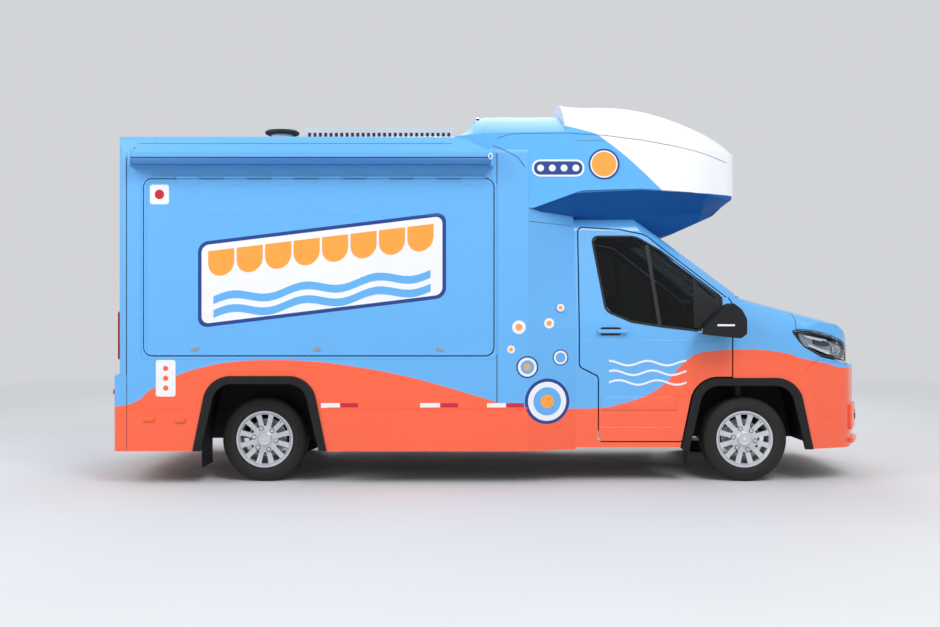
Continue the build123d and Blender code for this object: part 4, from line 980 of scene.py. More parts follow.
@dataclass
class Wheels:
    """Tyres, wheel nuts, caps and valves of the four wheels."""

    front_x: float = 2.0125
    rear_x: float = -1.7475
    half_track: float = 0.87
    axle_z: float = 0.32995
    nut_count: int = 6
    nut_circle: float = 0.086
    nut_radius: float = 0.0115
    nut_out: float = 0.060
    flange_out: float = 0.0085
    seat_out: float = 0.0668
    window_count: int = 12
    # Across and away from the axle, for the root of one window
    window_root: Line = ((-0.0075, 0.104), (0.0075, 0.104), (0.0135, 0.1212), (-0.0135, 0.1212))
    # Along the axle, and share of the cap's radius
    cap_profile: Line = ((-0.077, 0.0), (-0.077, 0.55), (-0.0825, 0.6), (-0.0865, 0.86),
                                       (-0.086, 0.95), (-0.081, 1.0), (-0.070, 1.0), (-0.070, 0.0))
    cap_radius: float = 0.051
    valve_place: Corner = (0.128, -0.062, 0.135)
    tyre: RoadTyre = field(default_factory=RoadTyre)

    def places(self) -> Iterable[tuple[str, str, float, int]]:
        """Axle name, side name, axle place and side sign of each wheel."""
        for axle, along in (("front", self.front_x), ("rear", self.rear_x)):
            for side, sign in (("right", -1), ("left", 1)):
                yield axle, side, along, sign

    def nut_spots(self, centre: Vector, out: float) -> list[Vector]:
        """Places round a right-hand wheel, one for each nut, this far out of its middle."""
        turns = [math.tau * index / self.nut_count + math.radians(10) for index in range(self.nut_count)]
        return [centre + Vector((self.nut_circle * math.cos(turn), -out, -self.nut_circle * math.sin(turn)))
                for turn in turns]

    def nuts(self, centre: Vector) -> Piece:
        """Nuts and their flanges on the right-hand face of a wheel.

        Args:
            centre: middle of the wheel.

        Returns:
            The nuts.
        """
        parts = []
        for spot in self.nut_spots(centre, self.nut_out):
            flange = spot + Vector((0, -self.flange_out, 0))
            parts.append(Bench.drum(spot, (0, 1, 0), self.nut_radius, 0.024, 6, 0.0015))
            parts.append(Bench.drum(flange, (0, 1, 0), self.nut_radius * 1.2, 0.003, 24))
        return Bench.join(parts)

    def recess_shade_sheets(self, centre: Vector) -> Piece:
        """Dark roots of the windows and dark seats of the nuts.

        Args:
            centre: middle of the wheel.

        Returns:
            The roots and seats.
        """
        parts = [Bench.drum(spot, (0, 1, 0), self.nut_radius * 1.65, 0.005, 32, 0.0005)
                 for spot in self.nut_spots(centre, self.seat_out)]
        for index in range(self.window_count):
            turn = Matrix.Rotation(math.tau * index / self.window_count, 2)
            corners = [turn @ Vector(corner) + Vector((centre.x, centre.z)) for corner in self.window_root]
            parts.append(Bench.patch("rim_front_right", RIGHT, corners, (3, 3), -0.001, 0.0008))
        return Bench.join(parts)

    def cap(self, centre: Vector) -> Piece:
        """Domed plain cap over the hub."""
        profile = [(along, self.cap_radius * share) for along, share in self.cap_profile]
        return Bench.turned(profile, centre, (0, 1, 0), 48)

    def valve(self, centre: Vector) -> Piece:
        """Short valve near the wheel's edge."""
        return Bench.drum(centre + Vector(self.valve_place), (-0.3, -1, -0.3), 0.004, 0.03, 12, 0.001)

    def build(self) -> None:
        """Model one wheel's pieces and copy them to the others."""
        first = Vector((self.front_x, -self.half_track, self.axle_z))
        rows = (
            ("road_tyre", self.tyre.build(first), TYRE_RUBBER, 30),
            ("wheel_nuts", self.nuts(first), CHROME, 35),
            ("wheel_cap", self.cap(first), SILVER_WHEEL, 35),
            ("valve", self.valve(first), SEAL_RUBBER, 35),
            # Painted shade: gloss black sheets in the rim's window roots and nut seats
            ("recess_shade_sheets", self.recess_shade_sheets(first), GLOSS_BLACK, 35),
        )
        masters = {kind: Bench.fit(piece, f"{kind}_front_right", finish, "wheel_front_right", smooth)
                   for kind, piece, finish, smooth in rows}
        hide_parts("tyre_front_right")
        for axle, side, along, sign in self.places():
            if (axle, side) == ("front", "right"):
                continue
            shift = Vector((along - self.front_x, 0, 0))
            copies = {kind: Bench.twin(master, f"{kind}_{axle}_{side}", f"wheel_{axle}_{side}", sign > 0, shift)
                      for kind, master in masters.items()}
            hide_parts(f"tyre_{axle}_{side}")


@dataclass
class HatchDressing:
    """Frame, latches, sign and sticker on the serving hatch."""

    rear_x: float = -2.631
    front_x: float = 0.041
    bottom_z: float = 0.994
    top_z: float = 2.343
    face: float = 1.150
    rim_inset: float = 0.002
    rim_width: float = 0.020
    rim_proud: float = 0.003
    corner: float = 0.062
    latch_places: tuple[float, ...] = (-2.241, -1.309, -0.368)
    latch_rise: float = 0.050
    latch_half: Point2 = (0.030, 0.013)
    sign_start: Point2 = (-2.19, 1.235)
    sign_size: Point2 = (1.84, 0.60)
    sign_slope: float = 0.122
    sign_border: float = 0.028
    sign_margin: float = 0.05
    motif_proud: float = 0.0022
    scallop_count: int = 8
    scallop_drop: float = 0.10
    scallop_half: float = 0.46
    # Height above the sign's foot of each wave stripe's middle
    wave_heights: tuple[float, ...] = (0.17, 0.065)
    # Name, outline, proud, corner radius and finish of each sticker layer
    sticker: tuple[tuple[str, list[Point2], float, float, Finish], ...] = (
        ("sticker_field", oblong(-2.585, 2.150, -2.440, 2.300), 0.001, 0.020, WHITE_FILM),
        ("sticker_dot", oblong(-2.548, 2.188, -2.477, 2.262), 0.0016, 0.034, RED_TAPE),
    )

    def rim(self) -> Piece:
        """Raised rounded frame that follows the hatch's outline."""
        inset, proud = self.rim_inset, self.rim_proud
        corners = oblong(self.rear_x + inset, self.bottom_z + inset, self.front_x - inset, self.top_z - inset)
        piece = Bench.loop([RIGHT.point(along, up, self.face) for along, up in corners])
        with Bench.opened(piece):
            bpy.ops.mesh.bevel(offset=self.corner - inset, segments=6, affect="VERTICES")
            bpy.ops.mesh.select_all(action="SELECT")
            bpy.ops.mesh.inset(thickness=self.rim_width, depth=0.0, use_boundary=True)
            bpy.ops.mesh.delete(type="FACE")
            bpy.ops.mesh.select_all(action="SELECT")
            bpy.ops.mesh.extrude_region_move(TRANSFORM_OT_translate={"value": (0, -proud, 0)})
        return Bench.edge(Bench.mend(piece), proud * 0.4)

    def film(self, outline: Outline, proud: float, radius: float = 0.0) -> Piece:
        """Film cut to an outline that is drawn level and set on the sign's slope.

        Args:
            outline: its corners, from the sign's lower rear corner.
            proud: its thickness.
            radius: radius of its corners.

        Returns:
            The film.
        """
        left, low = self.sign_start
        corners = [(left + along, low + self.sign_slope * along + up) for along, up in outline]
        return Bench.plate(RIGHT, corners, self.face, self.face + proud, radius)

    def scallops(self) -> Piece:
        """Row of half-round awning scallops under the sign's top edge."""
        wide, tall = self.sign_size
        pitch = (wide - 2 * self.sign_margin) / self.scallop_count
        reach, top = pitch * self.scallop_half, tall - self.sign_margin
        parts = []
        for index in range(self.scallop_count):
            left = self.sign_margin + pitch * index
            arc = [(left + reach * (1 - math.cos(math.pi * step / 8)),
                    top - self.scallop_drop - reach * math.sin(math.pi * step / 8)) for step in range(9)]
            parts.append(self.film([(left, top), *arc, (left + 2 * reach, top)], self.motif_proud))
        return Bench.join(parts)

    def waves(self) -> Piece:
        """Broad wave stripes across the lower half of the sign."""
        length = self.sign_size[0] - 0.18
        lines = [wavy((0.09, height), length, 0.028, 3, 32) for height in self.wave_heights]
        return Bench.join([self.film(stripe(line, 0.030), self.motif_proud) for line in lines])

    def latch(self, along: float) -> Piece:
        """Round-ended latch plate with its key barrel.

        Args:
            along: its place along the hatch.

        Returns:
            The latch.
        """
        up, (wide, tall) = self.bottom_z + self.latch_rise, self.latch_half
        plate = Bench.plate(RIGHT, oblong(along - wide, up - tall, along + wide, up + tall), self.face,
                            self.face + 0.006, 0.0125, 0.002)
        barrel = Bench.drum((along, -self.face - 0.007, up), (0, 1, 0), 0.008, 0.008, 24, 0.001)
        return Bench.join([plate, barrel])

    def build(self) -> None:
        """Dress the hatch."""
        Bench.fit(self.rim(), "hatch_rim", WRAP_PAINT, "hatch")
        latches = Bench.join([self.latch(along) for along in self.latch_places])
        Bench.fit(latches, "hatch_latches", STAINLESS, "hatch")
        (wide, tall), rim = self.sign_size, self.sign_border
        border = self.film(oblong(-rim, -rim, wide + rim, tall + rim), 0.0008, 0.075)
        Bench.fit(border, "sign_border", NAVY_FILM, "hatch")
        Bench.fit(self.film(oblong(0, 0, wide, tall), 0.0015, 0.055), "sign_field", WHITE_FILM, "hatch")
        Bench.fit(self.scallops(), "sign_scallops", ORANGE_FILM, "hatch")
        Bench.fit(self.waves(), "sign_waves", BLUE_FILM, "hatch")
        for name, outline, proud, radius, finish in self.sticker:
            layer = Bench.plate(RIGHT, outline, self.face, self.face + proud, radius)
            Bench.fit(layer, name, finish, "hatch")


@dataclass
class SideDressing:
    """Reflectors, markers, plates, motifs and panel seams on both sides of the kitchen."""

    face: float = 1.150
    tape_low: float = 0.594
    tape_high: float = 0.630
    # Rear end, change of colour and front end of each length of tape
    tapes: tuple[Corner, ...] = ((-1.278, -1.133, -0.995), (-0.521, -0.368, -0.231), (-0.009, 0.136, 0.274))
    marker_places: Line = ((-2.593, 0.508), (-2.356, 0.500))
    marker_half: Point2 = (0.042, 0.018)
    fold_x: float = 0.304
    fold_slope: float = 0.119 / 0.375
    # Place along, height and radius of the motif's rings and dots
    rings: tuple[Corner, ...] = ((0.455, 0.640, 0.175), (0.300, 0.905, 0.085), (0.560, 0.975, 0.062))
    dots: tuple[Corner, ...] = ((0.235, 1.210, 0.052), (0.470, 1.240, 0.040), (0.175, 1.040, 0.030),
                                (0.560, 1.360, 0.030))
    notice_dots: Line = ((-2.465, 0.745), (-2.465, 0.820), (-2.465, 0.895))

    def plates(self, facing: Facing, outlines: Iterable[Outline], proud: float, radius: float = 0.0,
               rounding: float = 0.0) -> Piece:
        """Plates of one kind on a side wall, this proud of it, as one mesh."""
        return Bench.join([Bench.plate(facing, outline, self.face, self.face + proud, radius, rounding)
                           for outline in outlines])

    def fold(self, piece: Piece) -> Piece:
        """Bend a flat film round the edge between the box and its joint to the cab.

        Args:
            piece: the flat film.

        Returns:
            The same film.
        """
        with Bench.opened(piece):
            bpy.ops.mesh.bisect(plane_co=(self.fold_x, 0, 0), plane_no=(1, 0, 0))
        for vertex in piece.data.vertices:
            if vertex.co.x > self.fold_x:
                vertex.co.y += (vertex.co.x - self.fold_x) * self.fold_slope
        return piece

    def discs(self, places: Iterable[Corner], share: float, layer: int) -> list[Piece]:
        """Round films of one layer, at a share of their radius, folded with the skin."""
        return [self.fold(Bench.plate(RIGHT, circle(along, up, radius * share, 40), self.face,
                                      self.face + 0.0007 * (layer + 1))) for along, up, radius in places]

    def motif(self) -> None:
        """Cluster of ringed dots before the door."""
        layers = (
            ("motif_outer", NAVY_FILM, ((self.rings, 1.0),)),
            ("motif_white", WHITE_FILM, ((self.rings, 0.86), (self.dots, 1.0))),
            ("motif_blue", BLUE_FILM, ((self.rings, 0.62),)),
            ("motif_orange", ORANGE_FILM, ((self.rings[:2], 0.30), (self.dots, 0.5))),
        )
        for layer, (name, finish, groups) in enumerate(layers):
            parts = [part for places, share in groups for part in self.discs(places, share, layer)]
            Bench.fit(Bench.join(parts), name, finish)

    def notice(self) -> None:
        """Blank white notice plate with three dots, over the rear bumper."""
        plate = self.plates(RIGHT, [oblong(-2.540, 0.680, -2.390, 0.960)], 0.0015, 0.018)
        Bench.fit(plate, "notice_plate", WHITE_FILM)
        dots = self.plates(RIGHT, [circle(along, up, 0.020, 24) for along, up in self.notice_dots], 0.0022)
        Bench.fit(dots, "notice_dots", AMBER_LENS)

    def build(self) -> None:
        """Dress both sides."""
        wide, tall = self.marker_half
        for facing in SIDES:
            side = facing.value
            for name, first, finish in (("tape_white", 0, WHITE_FILM), ("tape_red", 1, RED_TAPE)):
                outlines = [oblong(row[first], self.tape_low, row[first + 1], self.tape_high)
                            for row in self.tapes]
                Bench.fit(self.plates(facing, outlines, 0.0009), f"{name}_{side}", finish)
            outlines = [oblong(along - wide, up - tall, along + wide, up + tall)
                        for along, up in self.marker_places]
            markers = self.plates(facing, outlines, 0.014, 0.014, 0.006)
            Bench.fit(markers, f"side_markers_{side}", AMBER_LENS)
        self.motif()
        self.notice()
        for facing in SIDES:
            strip = self.plates(facing, [oblong(0.064, 0.600, 0.070, 2.540)], 0.0008)
            Bench.fit(strip, f"wall_seam_{facing.value}", SEAL_RUBBER)


@dataclass
class PodDressing:
    """Plain sign on the pod's right side."""

    face: float = 1.1505
    disc_place: Point2 = (0.885, 2.457)
    disc_radius: float = 0.118
    disc_root: float = 0.012
    # Name, share of the disc's radius, proud and finish of each layer
    disc_layers: tuple[tuple[str, float, float, Finish], ...] = (
        ("pod_disc_edge", 1.0, 0.0006, NAVY_FILM), ("pod_disc_white", 0.88, 0.0012, WHITE_FILM),
        ("pod_disc_field", 0.80, 0.0018, ORANGE_FILM),
    )
    bar_low: Point2 = (0.335, 2.362)
    bar_high: Point2 = (0.735, 2.492)
    bar_root: float = 0.004
    # Name, inset, proud, corner radius and finish of each layer
    bar_layers: tuple[tuple[str, float, float, float, Finish], ...] = (
        ("pod_bar_edge", 0.0, 0.0006, 0.060, WHITE_FILM), ("pod_bar_field", 0.014, 0.0012, 0.048, NAVY_FILM),
    )
    dot_count: int = 4
    dot_inset: float = 0.065
    dot_pitch: float = 0.09
    dot_radius: float = 0.026
    dot_proud: float = 0.0018

    def film(self, outline: Outline, root: float, proud: float, radius: float = 0.0) -> Piece:
        """Film on the pod's side, between a root inside it and a proud face."""
        return Bench.plate(RIGHT, outline, self.face - root, self.face + proud, radius)

    def build(self) -> None:
        """Put the layers on the pod."""
        for name, share, proud, finish in self.disc_layers:
            outline = circle(*self.disc_place, self.disc_radius * share, 48)
            Bench.fit(self.film(outline, self.disc_root, proud), name, finish)
        (left, low), (right, high) = self.bar_low, self.bar_high
        for name, inset, proud, radius, finish in self.bar_layers:
            outline = oblong(left + inset, low + inset, right - inset, high - inset)
            Bench.fit(self.film(outline, self.bar_root, proud, radius), name, finish)
        dots = [circle(left + self.dot_inset + self.dot_pitch * index, (low + high) / 2, self.dot_radius, 32)
                for index in range(self.dot_count)]
        Bench.fit(Bench.join([self.film(dot, self.bar_root, self.dot_proud) for dot in dots]), "pod_bar_dots",
                  WHITE_FILM)


@dataclass
class AwningDressing:
    """End caps, front rail and crank eye of the awning cassette."""

    rear_x: float = -2.715
    front_x: float = 0.037
    bottom_z: float = 2.427
    height: float = 0.130
    front_y: float = -1.275
    wall_y: float = -1.150
    cap_length: float = 0.030
    cap_proud: float = 0.006
    eye_size: Point2 = (0.013, 0.022)

    def rail(self) -> Piece:
        """Lead rail along the cassette's lower front edge."""
        return Bench.box((self.rear_x + 0.010, self.front_y - 0.006, self.bottom_z + 0.006),
                         (self.front_x - 0.010, self.front_y + 0.050, self.bottom_z + 0.062), 0.012, 4)

    def gap(self) -> Piece:
        """Dark gap between the rail and the cassette."""
        return Bench.box((self.rear_x + 0.008, self.front_y - 0.001, self.bottom_z + 0.060),
                         (self.front_x - 0.008, self.front_y + 0.040, self.bottom_z + 0.067))

    def cap(self, x_low: float, x_high: float) -> Piece:
        """Moulded end cap that wraps the cassette's end.

        Args:
            x_low: its rear end.
            x_high: its front end.

        Returns:
            The cap.
        """
        top_z = self.bottom_z + self.height
        outline = [(self.wall_y - 0.001, self.bottom_z - 0.004), (self.front_y - 0.004, self.bottom_z - 0.006),
                   (self.front_y - 0.004, top_z + 0.004), (self.wall_y - 0.001, top_z + 0.003)]
        return Bench.edge(Bench.plate(FRONT, outline, x_low, x_high), 0.018, 4)

    def eye(self) -> Piece:
        """Oval crank eye under the front end cap."""
        middle = Vector((self.front_x - 0.022, self.front_y - 0.012, self.bottom_z + 0.070))
        wide, tall = self.eye_size
        points = [middle + Vector((wide * along, 0, tall * up)) for along, up in circle(0, 0, 1, 20)]
        return Bench.bar(points, 0.004, closed=True)

    def build(self) -> None:
        """Dress the cassette."""
        Bench.fit(self.rail(), "awning_rail", AWNING_RAIL_PAINTED_SHADE)
        # Painted shadow: a dark strip along the gap over the rail
        Bench.fit(self.gap(), "awning_gap_shadow", SEAL_RUBBER)
        caps = [self.cap(self.rear_x - self.cap_proud, self.rear_x + self.cap_length),
                self.cap(self.front_x - self.cap_length, self.front_x + self.cap_proud)]
        Bench.fit(Bench.join(caps), "awning_caps", AWNING_PAINT)
        Bench.fit(self.eye(), "awning_eye", WHITE_FILM)


@dataclass
class CabDoorDressing:
    """Window seal, divider, handle and line motif of the cab doors."""

    node: str = "cab_door_right"
    face: float = 1.031
    window: tuple[Corner, ...] = (
        (0.826, 1.912, 0.040), (1.160, 1.912, 0.180), (1.350, 1.800, 0.0), (1.812, 1.446, 0.030),
        (1.812, 1.168, 0.020), (1.351, 1.222, 0.120), (1.120, 1.258, 0.100), (0.925, 1.340, 0.080),
    )
    seal_radius: float = 0.009
    divider: tuple[Point2, Point2] = ((1.250, 1.852), (1.335, 1.226))
    divider_half: float = 0.014
    divider_depth: float = 0.010
    handle_low: Point2 = (0.850, 1.145)
    handle_high: Point2 = (1.085, 1.208)
    line_start: Point2 = (0.94, 0.780)
    line_pitch: float = 0.075
    line_lag: float = 0.8
    line_length: float = 0.60
    line_half: float = 0.008

    def seal(self) -> Piece:
        """Rubber round the door window, laid on the skin."""
        line = grown(rounded(self.window), 0.007)
        points = [Bench.on_skin(self.node, RIGHT, along, up) for along, up in line]
        return Bench.bar(points, self.seal_radius, closed=True)

    def bar_over_glass(self) -> Piece:
        """Divider between the fixed and the sliding pane."""
        (top_x, top_z), (low_x, low_z) = self.divider
        count = 6
        spots = [Bench.on_skin("cab_door_window_right", RIGHT, top_x + (low_x - top_x) * step / count,
                               top_z + (low_z - top_z) * step / count, 0.002) for step in range(count + 1)]
        half = Vector((self.divider_half, 0, 0))
        piece = Bench.loop([spot + half for spot in spots] + [spot - half for spot in reversed(spots)])
        with Bench.opened(piece):
            bpy.ops.mesh.extrude_region_move(TRANSFORM_OT_translate={"value": (0, self.divider_depth, 0)})
        return Bench.mend(piece)

    def handle(self) -> tuple[Piece, Piece]:
        """Dark hollow and the pull handle over it."""
        (left, low), (right, high) = self.handle_low, self.handle_high
        hollow = Bench.plate(RIGHT, oblong(left + 0.02, low, right - 0.05, high), self.face - 0.001,
                             self.face + 0.0015, 0.022)
        middle = (low + high) / 2
        parts = [Bench.box((left, -self.face - 0.034, middle - 0.015),
                           (right, -self.face - 0.018, middle + 0.015), 0.0075, 4)]
        for rear, front in ((left + 0.004, left + 0.040), (right - 0.060, right - 0.004)):
            parts.append(Bench.box((rear, -self.face - 0.026, middle - 0.014),
                                   (front, -self.face + 0.002, middle + 0.014), 0.005, 3))
        return hollow, Bench.join(parts)

    def lines(self) -> Piece:
        """Three thin waves in white on the lower door."""
        along, up = self.line_start
        outlines = [stripe(wavy((along, up + self.line_pitch * index), self.line_length, 0.018, 2, 24,
                                self.line_lag * index), self.line_half) for index in range(3)]
        return Bench.join([Bench.plate(RIGHT, outline, self.face - 0.0005, self.face + 0.0008)
                           for outline in outlines])

    def build(self) -> None:
        """Dress the right door and copy the pieces to the left one."""
        hollow, grip = self.handle()
        for name, piece, finish in (
                ("window_seal", self.seal(), SEAL_RUBBER),
                ("window_divider", self.bar_over_glass(), GLOSS_BLACK),
                ("handle_hollow", hollow, SEAL_RUBBER), ("door_handle", grip, BODY_PAINT),
                ("door_lines", self.lines(), WHITE_FILM)):
            Bench.pair(piece, name, finish, "door_right")


@dataclass(frozen=True)
class Seam:
    """Seam or crease that both sides have; braces stand for the side in its nodes and body."""

    name: str
    nodes: tuple[str, ...]
    radius: float
    finish: Finish
    line: Line
    body: str = "vehicle"

    def build(self, facing: Facing) -> None:
        """Lay it along the skin of one side."""
        side = facing.value
        bar = Bench.seam([node.format(side) for node in self.nodes], facing, self.line, self.radius)
        Bench.fit(bar, f"{self.name}_{side}", self.finish, self.body.format(side))


@dataclass
class SeamDressing:
    """Panel seams and creases that are drawn along the skin."""

    seams: tuple[Seam, ...] = (
        Seam("pod_crease", ("over_cab_pod",), 0.0022, SEAM_SHADE, (
            (0.068, 2.655), (0.167, 2.688), (0.396, 2.694), (0.600, 2.695), (0.900, 2.676), (1.180, 2.645),
            (1.430, 2.603), (1.680, 2.549), (1.880, 2.500))),
        Seam("pod_short_crease", ("over_cab_pod",), 0.0015, SEAM_SHADE, ((0.664, 2.638), (0.893, 2.638))),
        Seam("shoulder_seam", ("kitchen_{}_wall", "kitchen_roof", "over_cab_pod"), 0.0030, SEAM_SHADE, (
            (0.037, 2.600), (0.129, 2.562), (0.228, 2.508), (0.281, 2.435))),
        Seam("joint_seam", ("cab_joint_panels",), 0.0022, SEAM_SHADE, ((0.315, 2.021), (0.660, 2.004))),
        Seam("roof_crease", ("kitchen_roof",), 0.0020, SEAM_SHADE, ((-2.68, 2.619), (-0.28, 2.619))),
        Seam("gutter_line", ("kitchen_roof",), 0.0022, SEAM_SHADE, ((-2.74, 2.566), (0.03, 2.566))),
        Seam("rear_tick", ("kitchen_roof",), 0.0020, SEAM_SHADE, ((-2.547, 2.625), (-2.547, 2.668))),
        Seam("front_tick", ("kitchen_roof",), 0.0020, SEAM_SHADE, ((-0.361, 2.625), (-0.361, 2.668))),
        Seam("corner_seam", ("kitchen_{}_wall", "kitchen_rear_wall", "kitchen_roof", "side_skirts",
                             "rear_bumper"), 0.0030, SEAL_RUBBER, (
            (-2.765, 0.285), (-2.765, 2.500), (-2.700, 2.590))),
        Seam("corner_tick", ("kitchen_rear_wall",), 0.0020, SEAM_SHADE, ((-2.770, 2.313), (-2.822, 2.313))),
        Seam("bumper_crease", ("front_bumper",), 0.0022, BODY_PAINT, ((2.530, 0.512), (2.740, 0.512))),
        Seam("door_crease", ("cab_door_{}",), 0.0022, BODY_PAINT, (
            (0.735, 1.108), (1.870, 1.100)), "door_{}"),
        Seam("door_low_crease", ("cab_door_{}",), 0.0022, BODY_PAINT, (
            (0.880, 0.430), (1.440, 0.430)), "door_{}"),
    )
    moulding: Reach = (0.880, 0.565, 1.465, 0.672)
    # Rear and front end of the flange over the skirt
    flange_runs: Line = ((-2.755, -2.270), (-1.225, 0.300))
    hatch_flange: tuple[Corner, ...] = ((-2.656, 2.300, 0.0), (-2.656, 0.969, 0.050), (0.066, 0.969, 0.050),
                                        (0.066, 2.300, 0.0))

    def build(self) -> None:
        """Lay the seams of both sides and round the hatch."""
        for facing in SIDES:
            side = facing.value
            for seam in self.seams:
                seam.build(facing)
            guard = Bench.patch(f"cab_door_{side}", facing, oblong(*self.moulding), (12, 3), -0.002, 0.006)
            Bench.fit(Bench.edge(guard, 0.003), f"door_moulding_{side}", BODY_PAINT, f"door_{side}")
            flange = [Bench.plate(facing, oblong(start, 0.588, end, 0.597), 1.149, 1.1525)
                      for start, end in self.flange_runs]
            Bench.fit(Bench.join(flange), f"skirt_flange_{side}", WRAP_PAINT)
        flange = Bench.seam("kitchen_right_wall", RIGHT, rounded(self.hatch_flange), 0.0030)
        Bench.fit(flange, "hatch_flange", WRAP_PAINT)
        crease = Bench.seam("serving_hatch", RIGHT, ((-2.300, 2.068), (-0.050, 2.068)), 0.0012)
        Bench.fit(crease, "hatch_crease", WRAP_PAINT, "hatch")


@dataclass
class FrontDressing:
    """Lamps, grille, plate, wipers and blank badge of the nose."""

    lamp: tuple[Corner, ...] = (
        (2.362, 1.176, 0.010), (2.525, 1.166, 0.080), (2.680, 1.130, 0.050), (2.800, 1.078, 0.020),
        (2.838, 1.050, 0.010), (2.845, 0.940, 0.010), (2.600, 0.990, 0.050), (2.452, 1.062, 0.020),
    )
    lamp_housing: tuple[Patch, ...] = (
        (RIGHT, ((2.44, 1.085), (2.82, 0.955), (2.80, 1.065), (2.42, 1.160)), (10, 5), -0.052, -0.044),
        (FRONT, oblong(-0.86, 0.960, -0.50, 1.080), (10, 5), -0.054, -0.046),
    )
    lamp_strips: tuple[Patch, ...] = (
        (RIGHT, ((2.47, 1.128), (2.66, 1.088), (2.66, 1.110), (2.46, 1.146)), (8, 2), -0.026, -0.016),
        (RIGHT, ((2.50, 1.058), (2.68, 0.992), (2.69, 1.014), (2.49, 1.078)), (8, 2), -0.024, -0.014),
        (FRONT, oblong(-0.84, 0.968, -0.52, 0.982), (8, 2), -0.028, -0.018),
    )
    # Name, outline, faces up it, root, proud and finish
    number_plate: tuple[tuple[str, list[Point2], int, float, float, Finish], ...] = (
        ("plate_holder_front", oblong(-0.240, 0.520, 0.240, 0.600), 3, -0.002, 0.006, BLACK_TRIM),
        ("plate_front", oblong(-0.220, 0.530, 0.220, 0.592), 2, 0.006, 0.008, BLANK_PLATE),
    )
    # Across, height and radius
    bowls: tuple[Corner, ...] = ((-0.790, 1.030, 0.040), (-0.640, 1.035, 0.036))
    badge: Line = ((-0.010, 0.0), (-0.010, 0.060), (0.000, 0.058), (0.004, 0.045), (0.005, 0.0))
    mesh_pitch: float = 0.02
    mesh_wire: float = 0.004
    # Left, low, right, high and proud of each raised part of the bumper
    blocks: tuple[tuple[float, float, float, float, float], ...] = (
        (-0.880, 0.400, -0.560, 0.600, 0.022), (0.560, 0.400, 0.880, 0.600, 0.022),
        (-0.880, 0.296, -0.520, 0.332, 0.034), (0.520, 0.296, 0.880, 0.332, 0.034),
    )
    fog_place: Point2 = (0.660, 0.500)
    fog_profile: Line = ((-0.020, 0.0), (-0.020, 0.046), (0.003, 0.046), (0.004, 0.040),
                                       (-0.004, 0.036), (-0.002, 0.0))
    # Start and end of the blade and place of the pivot, across the windscreen
    wiper_places: tuple[Corner, ...] = ((-0.62, 0.00, -0.02), (0.08, 0.68, 0.62))

    def lamp_pieces(self) -> list[tuple[str, Piece, Finish]]:
        """Name, mesh and finish of what fills and frames the right lamp."""
        housing, strips = ([Bench.patch("headlamps", *row) for row in rows]
                           for rows in (self.lamp_housing, self.lamp_strips))
        ellipse = [(2.585 + 0.095 * along, 1.088 - 0.018 * along + 0.024 * up)
                   for along, up in circle(0, 0, 1, 24)]
        depth = -Bench.on_skin("headlamps", RIGHT, 2.62, 1.08).y
        eye = Bench.plate(RIGHT, ellipse, depth - 0.030, depth - 0.014, 0.0, 0.003)
        bowls, lenses = [], []
        for along, up, radius in self.bowls:
            spot = Bench.on_skin("headlamps", FRONT, along, up)
            profile = [(-0.040, 0.010), (-0.012, radius), (-0.008, radius), (-0.008, radius - 0.004),
                       (-0.034, 0.006)]
            bowls.append(Bench.turned(profile, spot, (1, 0, 0), 32))
            spot = spot + Vector((-0.026, 0, 0))
            lenses.append(Bench.drum(spot, (1, 0, 0), radius * 0.5, 0.012, 24, 0.004))
        side = Bench.on_skin("headlamps", RIGHT, 2.735, 1.030)
        profile = [(0.040, 0.008), (0.014, 0.034), (0.010, 0.034), (0.010, 0.029), (0.034, 0.004)]
        bowls.append(Bench.turned(profile, side, (0.35, 1, 0), 32))
        rim = Bench.seam("headlamps", RIGHT, rounded(self.lamp, 4), 0.0065, closed=True)
        return [
            ("lamp_housing", Bench.join(housing), LAMP_SILVER),
            ("lamp_strips", Bench.join(strips), WHITE_FILM),
            ("lamp_side_lens", eye, LAMP_TEAL),
            ("lamp_bowls", Bench.join(bowls), CHROME),
            ("lamp_lenses", Bench.join(lenses), DARK_GLASS),
            ("lamp_frame", rim, GLOSS_BLACK),
        ]

    def plate(self) -> None:
        """Blank number plate on its holder, and a bare round badge."""
        for name, outline, rows, root, proud, finish in self.number_plate:
            layer = Bench.patch("front_bumper", FRONT, outline, (12, rows), root, proud)
            Bench.fit(layer, name, finish)
        spot = Bench.on_skin("bonnet", FRONT, 0.0, 1.105)
        Bench.fit(Bench.turned(self.badge, spot, (1, 0, 0.25), 48), "bare_badge", CHROME, "hood")

    def screens(self) -> None:
        """Dark mesh behind the grille's bars and in the lower intake."""
        mesh = []
        for index in range(50):
            across = -0.50 + self.mesh_pitch * index
            mesh.append(Bench.box((2.880, across, 0.600), (2.884, across + self.mesh_wire, 1.000)))
        for index in range(32):
            up = 0.370 + self.mesh_pitch * index
            mesh.append(Bench.box((2.880, -0.52, up), (2.884, 0.52, up + self.mesh_wire)))
        backing = [Bench.box((2.868, -0.60, 0.332), (2.876, 0.60, 1.010)),
                   Bench.box((2.870, -0.60, 0.332), (2.960, 0.60, 0.340))]
        Bench.fit(Bench.join(mesh), "grille_mesh", BLACK_TRIM)
        Bench.fit(Bench.join(backing), "grille_backing", SEAL_RUBBER)

    def bumper(self) -> Piece:
        """Raised corner blocks and the lip along the bumper's foot."""
        sheets = [Bench.patch("front_bumper", FRONT, oblong(*outline), (12, 3), -0.004, proud)
                  for *outline, proud in self.blocks]
        return Bench.join([Bench.edge(sheet, 0.004) for sheet in sheets])

    def fog_lamps(self) -> Piece:
        """Round fog lamps in the corner blocks."""
        across, up = self.fog_place
        return Bench.join([
            Bench.turned(self.fog_profile, Bench.on_skin("front_bumper", FRONT, sign * across, up, 0.018),
                         (1.0, sign * 0.25, 0), 40) for sign in (-1, 1)])

